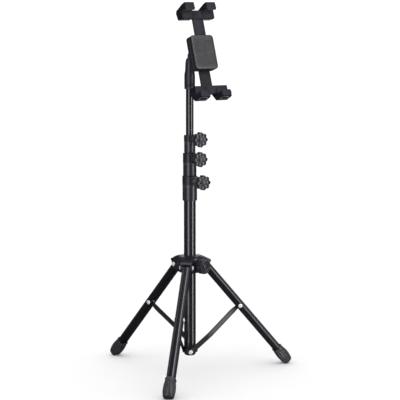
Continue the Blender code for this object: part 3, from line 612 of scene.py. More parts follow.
def build_collars():
    for name, (body, radius, low, high, tube_top, outer_r, inner_r, knob_z, face) in COLLARS.items():
        step_z = tube_top + GAP
        block_low = 2 * knob_z - high + 0.6
        toward = radial_frame(CLAMP_ANGLE, knob_z)
        sleeve = [(outer_r + GAP, low)] + arc((radius - 0.7, low + 0.7), 0.7, -90, 0, 5)
        sleeve += [(radius, low + 0.7 + (block_low - low - 0.4) * i / 6) for i in range(1, 7)]
        sleeve += [(outer_r + GAP, block_low + 0.3)]
        piece(f"collar_sleeve_{name}", turned(sleeve, 96), COLUMN, body, SLEEVE_PLASTIC)
        wide = radius + 0.35
        ring = [(outer_r + GAP, block_low + 0.32)] + arc((wide - 0.6, block_low + 0.6), 0.6, -110, 0, 5)
        ring += [(wide, block_low + 0.6 + (high - 1.6 - block_low) * i / 5) for i in range(1, 5)]
        ring += arc((wide - 1.0, high - 1.0), 1.0, 0, 90, 6)
        ring += [(inner_r + GAP + 0.4, high), (inner_r + GAP, high - 0.4)]
        ring += [(inner_r + GAP, step_z), (outer_r + GAP, step_z)]
        half_z = high - knob_z - 0.4
        lug_end, neck_end = radius + 5.5, face - KNOB_THICK - 0.4
        lug = pillow(rounded_rectangle(8.2, half_z, 2.6), radius - 5.0, lug_end, 1.3)
        neck = [(0, radius - 5.5), (6.8, radius - 5.5), (6.8, lug_end + 0.3)]
        neck += arc((7.6, lug_end + 1.1), 0.8, 180, 200, 2)
        neck += [(5.75, neck_end - 0.6), (5.2, neck_end), (0, neck_end)]
        room = cylinder(inner_r + GAP, low - 5, high + 5, 96)
        sleeve_room = cylinder(outer_r + GAP, low - 5, step_z, 96)
        screw_room = cylinder(SCREW_ROOM, inner_r - 3, face, 32)
        piece(
            f"collar_block_{name}", turned(ring, 96), COLUMN, body, PLASTIC, [f"clamp_collar_{name}"],
            [
                union(lug, toward), union(turned(neck, 48), toward), cut(room, COLUMN), cut(sleeve_room, COLUMN),
                cut(screw_room, toward),
            ],
        )
        knob = star_knob(face, face - KNOB_THICK, KNOB_RADIUS, KNOB_LOBES, 2.6, 5.4, 2.5)
        clamp(
            toward, body, f"{name}_clamp_knob", knob, inner_r, face - KNOB_THICK - 2, face, 40,
            (f"star_knob_{name}", f"knob_screw_{name}", f"brake_pad_{name}"),
            (f"clamp_knob_{name}", f"clamp_screw_{name}", f"clamp_pad_{name}"),
        )


# ----- Tripod -----
def leg_profile(offset, steps=16):
    """The right side, the round crown and the left side of a leg's section, moved inwards by an offset."""
    half = LEG_HALF_WIDTH - offset
    centre_y = LEG_HALF_DEPTH - LEG_HALF_WIDTH
    crown = arc((0, centre_y), half, 0, 180, 2 * steps)
    right = [(half, -LEG_HALF_DEPTH + (LEG_HALF_DEPTH + centre_y) * i / 6) for i in range(6)]
    return right + crown + [(-x, y) for x, y in reversed(right)]


def leg_shape():
    """A half-round channel with a rolled lower edge and a domed upper end."""
    outer, inner = leg_profile(0), leg_profile(LEG_WALL)
    middle = LEG_HALF_WIDTH - LEG_WALL / 2
    roll = LEG_WALL / 2
    foot_right = [(middle + roll * cos(t), -LEG_HALF_DEPTH + roll - roll * sin(t)) for t in (2.4, 1.57, 0.75)]
    foot_left = [(-x, y) for x, y in reversed(foot_right)]
    outer = [(x, max(y, -LEG_HALF_DEPTH + roll)) for x, y in outer]
    inner = [(x, max(y, -LEG_HALF_DEPTH + roll)) for x, y in inner]
    loop = outer + foot_left + inner[::-1] + foot_right
    crown = LEG_HALF_DEPTH + 0.1
    rings = [[(x, y, -sqrt(max(crown**2 - y**2, 0.0))) for x, y in loop]]
    for i in range(25):
        rings.append([(x, y, 9.0 + (LEG_LENGTH - 9.0) * i / 24) for x, y in loop])
    points, faces = lofted(rings, capped=False)
    count, n_outer = len(loop), len(outer)
    last = (len(rings) - 1) * count
    start_inner = n_outer + len(foot_left)
    pairs = [(i, start_inner + n_outer - 1 - i) for i in range(n_outer)]
    for base in (0, last):
        for (a, d), (b, c) in zip(pairs, pairs[1:]):
            faces.append([base + a, base + b, base + c, base + d])
        faces.append([base + i for i in range(n_outer - 1, start_inner + 1)])
        faces.append([base + i for i in (*range(start_inner + n_outer - 1, count), 0)])
    return points, faces


def pop_rivet(low, high, low_head, high_head, head=4.5, shank=2.0):
    """A domed rivet along z with a small punched dimple in the middle of its head."""
    tall = 1.9
    dome = [(head, 0.0), (head, 0.35)]
    for i in range(1, 9):
        turn = radians(90 * i / 9)
        dome.append((head * cos(turn) ** 0.9, 0.35 + (tall - 0.35) * sin(turn)))
    dome = [p for p in dome if p[0] > 1.65]
    dome += [(1.5, tall - 0.1), (1.3, tall - 0.3), (1.15, tall - 1.5), (0, tall - 1.6)]
    profile = [(0, low)] if not low_head else [(r, low - h) for r, h in reversed(dome)]
    profile += [(shank, low), (shank, high)]
    profile += [(0, high)] if not high_head else [(r, high + h) for r, h in dome]
    return turned(profile, 48)


def foot_ring(half, corner, height, groove=0.0, drop=0.0):
    """A section of the boot: a half-round top, straight sides and a flat underside with round corners."""
    right = arc((half - corner, corner - half + 0.3), corner, -90, 0, 20)
    side_low, side_high = right[-1][1], -0.5
    right += [(half, side_low + (side_high - side_low) * i / 8) for i in range(1, 8)]
    crown = arc((0, -0.5), half, 0, 180, 88)
    under = half - corner
    flat = [(-under + 2 * under * i / 14, 0.3 - half) for i in range(1, 14)]
    outline = right + crown + [(-x, y) for x, y in reversed(right)] + flat
    ring = []
    for x, y in outline:
        size, turn = hypot(x, y), atan2(y, x)
        rib = smooth(0.2, 0.6, 0.5 + 0.5 * cos(BOOT_RIBS * turn))
        reach = (size - groove * (1 - rib)) / size
        ring.append((x * reach, y * reach - drop, height))
    return ring


def foot_shape():
    """A barrel of ribbed rubber with a thin lip above and a ring of short nubs round its lower end."""
    start = FOOT_LENGTH - BOOT_LENGTH
    sections = [
        (0.0, 10.1, 1.7), (1.6, 10.3, 1.7), (8.0, 11.1, 2.4), (15.0, 12.2, 3.6), (22.0, 12.6, 4.2),
        (29.0, 12.5, 4.6), (34.5, 12.0, 4.8), (38.0, 11.3, 4.8), (40.2, 10.3, 4.6), (41.0, 8.6, 4.0),
    ]

    def at(down):
        for (d0, h0, c0), (d1, h1, c1) in zip(sections, sections[1:]):
            if down <= d1:
                t = (down - d0) / (d1 - d0)
                return h0 + (h1 - h0) * t, c0 + (c1 - c0) * t
        return sections[-1][1:]

    def rounded(down, span=2.4):
        taken = [at(min(max(down + span * i / 4, 0.0), BOOT_LENGTH)) for i in range(-4, 5)]
        return sum(h for h, c in taken) / 9, sum(c for h, c in taken) / 9

    lip = (
        (0.35, 9.6, 1.6), (0, 10.4, 1.7), (0.1, 11.0, 1.9), (0.6, 11.25, 1.9), (1.5, 11.2, 1.9), (2.0, 10.9, 1.9),
        (2.4, 10.4, 1.8),
    )
    end = ((38.9, 10.5, 4.8), (39.7, 10.0, 4.8), (40.3, 9.4, 4.7), (40.75, 8.6, 4.4), (BOOT_LENGTH, 7.4, 3.8))
    rings = [foot_ring(half, corner, start + down) for down, half, corner in lip]
    down = 3.0
    while down < 38.6:
        half, corner = rounded(down)
        groove = 0.9 * smooth(5.5, 7.5, down) * (1 - smooth(32.0, 33.5, down))
        groove += 1.5 * smooth(34.8, 35.4, down) * (1 - smooth(37.4, 38.2, down))
        taper = 0.5 * smooth(24.0, 38.0, down)
        rings.append(foot_ring(half - taper, corner, start + down, groove, taper))
        down += 0.62
    rings += [foot_ring(half, corner, start + down, 0.0, 0.5) for down, half, corner in end]
    return lofted(rings)


def press_to_floor(shape, place):
    """The rubber below the floor is worn away to a flat."""
    points, faces = shape
    inverse, pressed = place.inverted(), []
    for point in points:
        world = place @ (Vector(point) * MM)
        world.z = max(world.z, 1e-5)
        pressed.append(tuple(inverse @ world / MM))
    return pressed, faces


def foot_pocket():
    """The room for a leg inside its boot."""
    half = LEG_HALF_WIDTH + 0.15
    centre_y = LEG_HALF_DEPTH - LEG_HALF_WIDTH
    outline = [(half, -LEG_HALF_DEPTH - 0.15)] + arc((0, centre_y), half, 0, 180, 24)
    outline += [(-half, -LEG_HALF_DEPTH - 0.15)]
    return prism(outline, FOOT_LENGTH - 50, LEG_LENGTH + 0.3)


def brace_shape():
    """A pressed strip with raised rims that steps over from beside the column to inside its leg."""
    rows, columns = 190, 20
    low_r, high_r = BRACE_HALF_WIDTH, 3.5

    def half_width(z):
        if z < 0:
            return sqrt(max(low_r**2 - z**2, 0.0))
        if z > BRACE_LENGTH:
            return sqrt(max(high_r**2 - (z - BRACE_LENGTH) ** 2, 0.0))
        return low_r + (high_r - low_r) * max((z - BRACE_FLAT_HIGH) / (BRACE_LENGTH - BRACE_FLAT_HIGH), 0.0)

    def inset(y, z):
        if z < 0:
            return low_r - hypot(y, z)
        if z > BRACE_LENGTH:
            return high_r - hypot(y, z - BRACE_LENGTH)
        return half_width(z) - abs(y)

    def centre_x(z):
        low_x, high_x = -BRACE_SIDE - BRACE_THICK / 2, 0.0
        span, bend = BRACE_FLAT_HIGH - BRACE_FLAT_LOW, 8.0
        slope = (high_x - low_x) / span
        total = 0.0
        for knee, turn in ((BRACE_FLAT_LOW, slope), (BRACE_FLAT_HIGH, -slope)):
            past = z - knee
            if past > bend:
                total += turn * past
            elif past > -bend:
                total += turn * (past + bend) ** 2 / (4 * bend)
        return low_x + total

    def recess(y, z):
        depth = smooth(0.9, 1.9, inset(y, z))
        depth *= smooth(5.3, 7.2, hypot(y, z)) * smooth(4.4, 6.0, hypot(y, z - BRACE_LENGTH))
        return 0.55 * depth

    stations = [-low_r * cos(radians(90 * i / 12)) for i in range(12)]
    stations += [BRACE_LENGTH * i / rows for i in range(rows + 1)]
    stations += [BRACE_LENGTH + high_r * sin(radians(90 * i / 12)) for i in range(1, 13)]
    rings = []
    for z in stations:
        half, x = max(half_width(z), 0.15), centre_x(z)
        edge = min(0.35, half * 0.5)
        across = [-half + edge + (2 * half - 2 * edge) * i / columns for i in range(columns + 1)]
        thick = BRACE_THICK / 2
        rim = [(edge * 0.4 - thick, half - edge * 0.3), (edge - thick, half)]
        rim += [(-deep, wide) for deep, wide in reversed(rim)]
        ring = [(x - thick + recess(y, z), y, z) for y in across]
        ring += [(x + deep, wide, z) for deep, wide in rim]
        ring += [(x + thick - recess(y, z), y, z) for y in reversed(across)]
        ring += [(x + deep, -wide, z) for deep, wide in reversed(rim)]
        rings.append(ring)
    return lofted(rings)


def build_tripod():
    leg, foot, brace = leg_shape(), foot_shape(), brace_shape()
    for name, angle in LEG_ANGLES.items():
        place, body = leg_frame(angle), f"leg_{name}"
        holes = joined(cross_pin(LEG_EYE, 20), cross_pin(LEG_EYE, 20, -BRACE_PIVOT_BELOW, BRACE_PIVOT_ALONG))
        piece(f"leg_channel_{name}", leg, place, body, LEG_PAINT, [f"leg_{name}"], [cut(holes, place)], None, 40)
        piece(
            f"rubber_boot_{name}", press_to_floor(foot, place), place, body, RUBBER, [f"foot_{name}"],
            [cut(foot_pocket(), place)], None, 40,
        )
        reach = HUB_HALF_WIDTH + 0.1
        piece(
            f"pivot_rivet_{name}", along_x(pop_rivet(-reach, reach, True, True)), place, "hub", NICKEL_PAINTED_REFLECTION,
            [f"hub_rivet_{name}"],
        )
        for side, flip in (("a", False), ("b", True)):
            shape = along_x(
                pop_rivet(1.3, LEG_HALF_WIDTH + 0.1, False, True), -BRACE_PIVOT_BELOW, BRACE_PIVOT_ALONG, flip
            )
            piece(f"leg_rivet_{name}_{side}", shape, place, body, NICKEL_PAINTED_REFLECTION, [f"brace_rivet_{name}_{side}"])
        low = brace_frame(angle)
        eyes = joined(cross_pin(BRACE_EYE, 30), cross_pin(BRACE_EYE, 30, 0, BRACE_LENGTH))
        piece(
            f"brace_strip_{name}", brace, low, f"brace_{name}", BRACE_PAINT, [f"brace_{name}"], [cut(eyes, low)],
            None, 40,
        )
        pin = pop_rivet(BRACE_SIDE - 5.0, BRACE_SIDE + BRACE_THICK + 0.2, False, True)
        piece(f"foot_rivet_{name}", along_x(pin, flip=True), low, "column", NICKEL_PAINTED_REFLECTION, [f"bracket_rivet_{name}"])


def build_bracket():
    inside = OUTER_RADIUS - TUBE_WALL - GAP
    profile = [(0, 38.0), (3.0, 38.0), (3.4, 38.5), (4.6, 38.5), (5.0, 38.0), (8.0, 38.0)]
    profile += [(8.0 + 4.3 * sin(radians(t)), 42.6 - 4.6 * cos(radians(t))) for t in range(15, 91, 15)]
    profile += [(12.3, 46.0), (12.3, 48.0), (12.3, 50.0)] + arc((11.9, 51.7), 0.4, 0, 90, 3)
    profile += [(inside, 52.1), (inside, 75.0), (inside - 1.0, 76.2), (0, 76.2)]
    boss = along_x(soft_cylinder(5.5, 4.0, BRACE_SIDE - 0.3, 0.5), flip=True)
    hole = along_x(cylinder(HUB_EYE, 7.5, 20, 32), flip=True)
    steps = [union(boss, brace_frame(angle)) for angle in LEG_ANGLES.values()]
    steps += [cut(hole, brace_frame(angle)) for angle in LEG_ANGLES.values()]
    piece("column_foot", turned(profile, 96), COLUMN, "column", PLASTIC, ["bottom_bracket"], steps)


# ----- Hub -----
def lowered(top, points):
    """Points of (radius, drop below a top) as (radius, height)."""
    return [(r, top - drop) for r, drop in points]


def hood_shape():
    """One arm of the hub: a sloping roof with raised ribs that ends in an upright brow over the leg."""
    roof = lowered(HUB_TOP, (
        (14.0, 0.3), (20.0, 0.8), (24.0, 1.7), (28.0, 3.0), (32.0, 4.7), (36.0, 6.9), (38.6, 8.7), (40.2, 10.3),
    ))
    brow = lowered(HUB_TOP, (
        (41.0, 10.4), (41.8, 9.9), (42.7, 10.0), (43.3, 10.6), (43.6, 11.6), (43.75, 12.6), (43.75, 13.6),
        (43.5, 14.4), (43.0, 14.9), (42.2, 15.1), (41.4, 14.9), (41.1, 15.6), (41.3, 16.6),
    ))
    cheek = lowered(HUB_PIVOT_Z, (
        (41.4, -3.4), (41.4, 0), (41.3, 4.0), (40.4, 6.4), (38.4, 8.4), (35.6, 10.2), (32.0, 11.8),
    ))
    cheek += [(26.0, HUB_BOTTOM + 0.8), (14.0, HUB_BOTTOM), (14.0, HUB_TOP - 18)]
    dense = []
    for (r0, z0), (r1, z1) in zip(roof, roof[1:]):
        dense += [(r0 + (r1 - r0) * i / 4, z0 + (z1 - z0) * i / 4) for i in range(4)]
    side = dense + brow + cheek
    centre = (29.0, HUB_PIVOT_Z + 3.0)
    rounding = ((0, 2.6), (0.25, 1.55), (0.8, 0.75), (1.6, 0.25), (2.6, 0.0))
    columns = [(-HUB_HALF_WIDTH + inwards, shrink) for inwards, shrink in rounding]
    columns += [(-10.0 + 20.0 * i / 80, 0.0) for i in range(81)]
    columns += [(-y, shrink) for y, shrink in reversed(columns[:5])]
    rings = []
    for y, shrink in columns:
        ring = []
        for index, (r, z) in enumerate(side):
            size = 1 - shrink / 17.0
            where = [centre[0] + (r - centre[0]) * size, y, centre[1] + (z - centre[1]) * size]
            if index < len(dense):
                along = smooth(19.0, 21.5, r) * (1 - smooth(38.2, 39.6, r))
                inside = 1 - smooth(9.2, 9.6, abs(y))
                wave = smooth(0.30, 0.66, 0.5 + 0.5 * cos(2 * pi * y / HOOD_RIB_PITCH))
                where[2] -= 1.05 * along * inside * (1 - wave)
            ring.append(tuple(where))
        rings.append(ring)
    return lofted(rings)


def hub_knob_shape():
    """A round knob with a milled rim, a raised ring on its face and a domed middle."""
    back, face, radius = HUB_KNOB_BACK, HUB_KNOB_FACE, 15.0

    def warp(turn, r, z):
        if r > 14.2:
            side = smooth(back + 0.6, back + 1.6, z) * (1 - smooth(face - 2.4, face - 1.7, z))
            r -= 0.8 * side * (1 - smooth(0.25, 0.65, 0.5 + 0.5 * cos(HUB_KNOB_RIBS * turn)))
        return r, z

    profile = [(0, back), (12.8, back)] + arc((13.8, back + 1.1), 1.1, -80, 0, 4)
    profile += [(14.95, back + 1.5), (radius, back + 2.2)]
    profile += [(radius, back + 2.2 + (face - back - 5.0) * i / 8) for i in range(1, 9)]
    profile += [(14.7, face - 1.9), (14.2, face - 1.4)] + arc((13.4, face - 0.8), 0.8, 0, 90, 5)
    profile += lowered(face, ((12.9, 0.1), (12.6, 0.8), (12.3, 2.6), (10.3, 2.6), (10.0, 1.0)))
    profile += arc((9.1, face - 0.9), 0.8, 10, 170, 6)
    profile += lowered(face, (
        (7.9, 1.0), (7.7, 2.6), (5.8, 2.6), (5.5, 1.0), (4.9, 0.45), (3.4, 0.1), (1.8, 0), (0, 0),
    ))
    return turned(profile, 256, warp)


def build_hub():
    bore = OUTER_RADIUS + GAP
    dome = [(bore - 2, HUB_BOTTOM), (20.0, HUB_BOTTOM), (22.6, HUB_BOTTOM + 0.5), (24.6, HUB_BOTTOM + 1.7)]
    dome += [(25.7, HUB_BOTTOM + 3.4), (26.0, HUB_BOTTOM + 5.4), (26.0, HUB_BOTTOM + 12)]
    dome += lowered(HUB_TOP, (
        (26.0, 14), (26.0, 8.6), (25.6, 6.2), (24.4, 4.1), (22.4, 2.6), (19.6, 1.6), (17.2, 1.2), (16.4, 0.9),
        (16.1, 0.4), (15.5, 0), (bore + 0.4, 0), (bore, 0.4), (bore - 2, 0.5),
    ))
    toward = radial_frame(HUB_KNOB_ANGLE, HUB_KNOB_Z)
    steps = [union(hood_shape(), upright_frame(angle)) for angle in LEG_ANGLES.values()]
    boss = [(0, 18), (9.0, 18), (9.0, 25.0), (8.6, 26.5), (8.3, HUB_KNOB_BACK - 0.9)]
    boss += [(7.8, HUB_KNOB_BACK - 0.4), (0, HUB_KNOB_BACK - 0.4)]
    steps.append(union(turned(boss, 64), toward))
    pocket = [(25.8, HUB_BOTTOM - 20), (25.8, HUB_PIVOT_Z)]
    pocket += arc((HUB_PIVOT_R, HUB_PIVOT_Z), 9.4, 180, 52, 20)
    pocket += [(60.0, HUB_PIVOT_Z + 5.4), (60.0, HUB_BOTTOM - 20)]
    half = LEG_HALF_WIDTH + GAP
    for angle in LEG_ANGLES.values():
        steps.append(cut(prism(pocket, -half, half, "y"), upright_frame(angle)))
        steps.append(cut(cross_pin(HUB_EYE, 20), leg_frame(angle)))
    steps.append(cut(cylinder(SCREW_ROOM, 10, 40, 32), toward))
    steps.append(cut(cylinder(bore, HUB_BOTTOM - 9, HUB_TOP + 9, 96), COLUMN))
    piece("hub_shell", turned(dome, 120), COLUMN, "hub", PLASTIC, ["hub_body"], steps, None, 32)
    clamp(
        toward, "hub", "hub_knob", hub_knob_shape(), OUTER_RADIUS, 26, HUB_KNOB_FACE, 30,
        ("hub_round_knob", "hub_knob_screw", "hub_brake_pad"), ("hub_knob", "hub_screw", "hub_pad"),
    )


# ----- Head -----
def build_post():
    _, tube, _, top = TUBES["inner"]
    bore = tube + GAP
    profile = [(bore, 602.0), (10.4, 602.0), (10.9, 602.3), (11.2, 602.9), (11.2, 606.0)]
    profile += [(10.95, 606.4), (10.95, 608.2), (11.2, 608.6), (11.2, 616.0), (11.2, 624.0), (11.2, 629.5)]
    profile += [(11.1, 631.5), (10.7, 634.2), (10.1, 637.4), (9.6, 640.4), (9.3, 645.0), (9.1, 651.0)]
    profile += [(8.9, 655.6), (8.5, 659.2), (7.8, 662.2), (6.6, 664.7), (4.8, 666.4), (2.6, 667.2), (0, 667.4)]
    profile += [(0, top + 0.3), (bore, top + 0.3)]
    stem_start = -(abs(BALL_Y) / cos(radians(TILT)))
    ball = [(4.5, stem_start), (4.5, -10.5), (4.6, -sqrt(BALL_RADIUS**2 - 4.6**2) - 0.4)]
    start = degrees(asin(4.8 / BALL_RADIUS)) - 90
    ball += arc((0, 0), BALL_RADIUS, start, 90, 24)[:-1]
    ball += [(0, BALL_RADIUS), (0, stem_start)]
    piece(
        "head_post", turned(profile, 96), COLUMN, "ball_post", PLASTIC, ["ball_post"],
        [union(turned(ball, 64), HEAD)],
    )


def build_socket():
    inner, mouth_z = BALL_RADIUS + 0.25, -4.7
    back = SHELL_BACK - 0.3
    cup = [(12.0, mouth_z), (12.4, mouth_z + 0.4), (12.4, 12.2), (12.8, 12.6), (16.2, 12.6), (16.8, 13.2)]
    cup += [(16.8, back - 0.5), (16.3, back), (0, back)]
    start = degrees(atan2(mouth_z, sqrt(inner**2 - mouth_z**2)))
    cup += [(0, inner)] + arc((0, 0), inner, 90, start, 20)[1:]
    piece(
        "head_socket", turned(cup, 96), HEAD, "socket", PLASTIC, ["ball_socket"],
        [cut(block((-20, 20), (-0.8, 0.8), (-8, 7.5)), HEAD), cut(block((-0.8, 0.8), (-20, 20), (-8, 7.5)), HEAD)],
    )
    nut = [(8.8, -6.0), (9.1, -6.3), (14.6, -6.3), (15.4, -5.9), (16.0, -5.2), (16.4, -4.2)]
    nut += [(16.4, -4.2 + 12.4 * i / 10) for i in range(1, 10)]
    nut += [(16.4, 8.6), (16.1, 9.6), (15.4, 10.0), (12.9, 10.0), (12.7, 9.8), (12.7, -5.0), (8.8, -5.0)]

    def grip(turn, r, z):
        if r > 15.9:
            span = smooth(-4.6, -3.4, z) * (1 - smooth(7.2, 8.4, z))
            r -= 0.8 * span * (1 - smooth(0.15, 0.6, 0.5 + 0.5 * cos(GRIP_RIBS * turn)))
        return r, z

    piece("head_nut", turned(nut, 240, grip), HEAD, "socket_nut", (KNOB_PLASTIC[0], PLASTIC[1]), ["socket_nut"])


def claw_outer(sign, n):
    """How far out the outer face of a claw lies at a distance in front of the ball."""
    if sign < 0:
        return 97.2 + (52.3 - n) * 0.123
    return 101.3 - (52.3 - n) * 0.258


def claw_shapes(sign, centre):
    """The body and the lip of one claw; sign is -1 for the lower pair."""
    lip_back = 45.0
    lower_back = ((72.0, 19.0), (82.0, 13.5), (100.2, 27.9))
    upper_back = ((72.0, 19.0), (88.0, 15.5), (92.6, 18.6))
    back = lower_back if sign < 0 else upper_back
    front = ((claw_outer(sign, lip_back), lip_back), (SEAT, lip_back), (SEAT, 37.4), (72.0, 37.4))
    side = [(sign * v, n) for v, n in back + front]
    body = prism(side, centre - CLAW_HALF_WIDTH, centre + CLAW_HALF_WIDTH, "x")
    sections = (
        (lip_back - 0.4, (88.4, 12.3), (89.6, 12.9), 12.9),
        (50.4, (84.85, 10.4), (88.2, 12.5), 11.5),
        (52.3, (83.9, 9.2), (88.2, 11.2), 10.1),
    )
    points = []
    for n, tip, wide, outer_half in sections:
        outer = claw_outer(sign, n) - (0.8 if n > 52 else 0.05)
        half = [(tip[1], tip[0]), (wide[1], wide[0]), (outer_half, outer)]
        ring = half + [(-u, v) for u, v in reversed(half)]
        points += [(centre + u, sign * v, n) for u, v in ring]
    faces = [list(range(6)), list(range(12, 18))]
    for level in (0, 6):
        for i in range(6):
            j = (i + 1) % 6
            faces.append([level + i, level + j, level + j + 6, level + i + 6])
    return body, (points, faces)


def claw_plug_place(sign, centre):
    """The middle of the outer face of a claw, with z square to that face."""
    low_n, high_n = (27.9, 52.0) if sign < 0 else (20.0, 50.0)
    low = Vector((0, sign * claw_outer(sign, low_n), low_n))
    high = Vector((0, sign * claw_outer(sign, high_n), high_n))
    along, across = (high - low).normalized(), Vector((1, 0, 0))
    outward = across.cross(along) * -sign
    turn = Matrix((across * -sign, along, outward)).transposed().to_4x4()
    turn.translation = (low + high) / 2 + Vector((centre, 0, 0))
    return turn


def build_fork(name, sign, body, plate_n, plate_end, link):
    """A plate with a bar and two claws at its end, two round plugs and two rubber grips."""
    half = CLAW_SPACING / 2 + CLAW_HALF_WIDTH
    low, high = sorted((sign * 71.0, sign * 87.9))
    bar = block((-half, half), (low, high), (27.0, 36.6))
    steps = [
        union(block((-PLATE_HALF_WIDTH, PLATE_HALF_WIDTH), sorted((sign * 75.0, plate_end)), plate_n), HEAD)
    ]
    if link:
        link_u = (-PLATE_HALF_WIDTH - 2, PLATE_HALF_WIDTH + 2)
        steps.append(union(block(link_u, sorted((sign * 71.5, sign * 84.0)), (plate_n[0], 28.0)), HEAD))
    for centre in (-CLAW_SPACING / 2, CLAW_SPACING / 2):
        seat, lip = claw_shapes(sign, centre)
        steps += [union(seat, HEAD), union(lip, HEAD)]
    if link:
        steps += [cut(cylinder(1.75, 19, 25, 24), at_head(u, FORK_SCREW_V)) for u in FORK_SCREWS.values()]
    body_name = name.replace("fork", "claw_frame")
    piece(body_name, bar, HEAD, body, CLAW_PLASTIC, [name], steps, (0.45, 3, 20), 40)
    for tag, centre in (("l", -CLAW_SPACING / 2), ("r", CLAW_SPACING / 2)):
        plug = turned(
            [(0, -0.6), (5.0, -0.6), (5.0, -0.02), (4.6, 0.03), (4.2, 0.03), (3.9, -0.35), (0, -0.3)], 64
        )
        stretch = Matrix.Diagonal((2.0, 1.7, 1, 1))
        piece(
            f"{body_name}_plug_{tag}", moved(moved(plug, stretch), claw_plug_place(sign, centre)), HEAD, body,
            PLUG_PLASTIC,
        )
        ridge = []
        pad_low, pad_high = 87.0, SEAT - 0.15
        near, deep = 37.6, 44.4
        count = 48
        for i in range(count + 1):
            n = near + (deep - near) * i / count
            wave = 0.28 * (1 - smooth(0.3, 0.6, 0.5 + 0.5 * cos(2 * pi * i / 8)))
            ends = 0.25 * (1 - smooth(0, 3, i)) + 0.25 * smooth(count - 3, count, i)
            ridge.append((sign * (pad_low + wave + ends), n))
        outline = ridge + [(sign * pad_high, deep), (sign * pad_high, near)]
        pad = prism(outline, centre - CLAW_HALF_WIDTH + 2, centre + CLAW_HALF_WIDTH - 2, "x")
        pad_name = name.replace("fork", "claw_pad")
        piece(
            pad_name.replace("pad", "grip") + f"_{tag}", pad, HEAD, body, PAD_RUBBER, [f"{pad_name}_{tag}"], (), None,
            40,
        )


def build_holder():
    outline = rounded_rectangle(SHELL_HALF_WIDTH, SHELL_HALF_HEIGHT, 7.0, 12)
    room = PLATE_HALF_WIDTH + GAP
    lock = at_head(0, LOCK_V)
    lock_room = cylinder(2.8, 10, 30.6, 32)
    back_steps = [
        cut(block((-room, room), (-SHELL_HALF_HEIGHT - 5, 8.6), (20.0, 23.6)), HEAD),
        cut(lock_room, lock),
    ]
    hole = turned([(0, 10), (3.7, 10), (3.7, 18.4), (1.75, 18.6), (1.75, 25.0), (0, 25.0)], 32)
    back_steps += [cut(hole, at_head(u, FORK_SCREW_V)) for u in FORK_SCREWS.values()]
    vent = pillow(rounded_rectangle(5.0, 0.8, 0.75, 6), 15.0, 17.7, 0.2)
    for v in (0.0, -3.5, -7.0):
        back_steps += [cut(vent, at_head(u, v)) for u in (-20.0, 20.0)]
    piece(
        "holder_shell_back", pillow(outline, SHELL_BACK, SHELL_SPLIT - 0.15, 1.6, 0, 6), HEAD, "holder", PLASTIC,
        ["holder_back_shell"], back_steps,
    )
    upper_room = block((-room, room), (-SHELL_HALF_HEIGHT - 5, SHELL_HALF_HEIGHT + 5), (30.0, 33.6))
    piece(
        "holder_shell_front", pillow(outline, SHELL_SPLIT + 0.15, SHELL_FRONT, 1.6, 0, 6), HEAD, "holder", PLASTIC,
        ["holder_front_shell"], [cut(upper_room, HEAD), cut(lock_room, lock)],
    )
    build_fork("lower_fork", -1, "holder", (20.3, 23.3), 8.0, True)
    build_fork("upper_fork", 1, "upper_jaw", (30.3, 33.3), 0.0, False)
    blind = cylinder(2.55, 7.0, 20, 32)
    lock_knob = star_knob(SHELL_BACK - 0.4, 4.0, 8.5, 6, 1.6, 3.2, 0.0)
    mirrored = [(x, y, SHELL_BACK - 0.4 + 4.0 - z) for x, y, z in lock_knob[0]], lock_knob[1]
    piece("jaw_lock_knob", mirrored, lock, "lock_knob", KNOB_PLASTIC, ["lock_knob"], [cut(blind, lock)], None, 40)
    piece("jaw_lock_screw", threaded(2.5, 7.2, 30.1, 0.8, 0.35), lock, "lock_knob", ZINC, ["lock_screw"])
    for tag, u in FORK_SCREWS.items():
        place = at_head(u, FORK_SCREW_V)
        profile = [(0, 16.9), (2.4, 16.9), (3.0, 17.15), (3.3, 17.6), (3.3, 18.1), (1.6, 18.3), (1.5, 18.4)]
        for i in range(1, 16):
            z = 18.4 + 0.4 * i
            profile += [(1.6, z), (1.3, z + 0.2)]
        profile = [p for p in profile if p[1] < 24.5] + [(0, 24.6)]
        long, short, deep = (-1.9, 1.9), (-0.4, 0.4), (15.9, 17.8)
        recess = [cut(block(long, short, deep), place), cut(block(short, long, deep), place)]
        piece(f"shell_screw_{tag}", turned(profile, 48), place, "holder", ZINC, [f"fork_screw_{tag}"], recess)
    build_front_pad()


def build_front_pad():
    """A thin rubber sheet with rounded corners and fine grooves across it."""
    half_u, half_v, corner = FACE_PAD_HALF_WIDTH, FACE_PAD_HALF_HEIGHT, FACE_PAD_CORNER
    low, high = SHELL_FRONT + 0.1, SHELL_FRONT + 1.1
    rim = [(1.0, 0.35), (0.985, 0.1), (0.96, 0.0), (0.93, 0.0), (0.915, 1.0)]
    rows = 240
    rings = []
    for j in range(rows + 1):
        v = -half_v + 2 * half_v * j / rows
        over = max(abs(v) - (half_v - corner), 0.0)
        reach = half_u - corner + sqrt(max(corner**2 - over**2, 0.04))
        wave = smooth(0.3, 0.6, 0.5 + 0.5 * cos(2 * pi * v / FACE_PAD_PITCH))
        border = smooth(1.6, 2.4, half_v - abs(v))
        ring = [(-reach, v, low), (reach, v, low)]
        for u_part, drop in rim + [(-u_part, drop) for u_part, drop in reversed(rim)]:
            depth = drop if drop < 1 else 0.45 * (1 - wave) * border
            ring.append((reach * u_part, v, high - depth))
        rings.append(ring)
    piece("holder_rubber_face", lofted(rings), HEAD, "holder", PAD_RUBBER, ["holder_front_pad"], (), None, 40)


# ----- Camera, lights and floor -----
CAMERA_AZIMUTH, CAMERA_TURN, CAMERA_PITCH = -32.42, -0.42, 7.78
CAMERA_REACH, CAMERA_HEIGHT = 2.9065, 0.7650
CAMERA_SENSOR, CAMERA_LENS = 36.0, 126.0
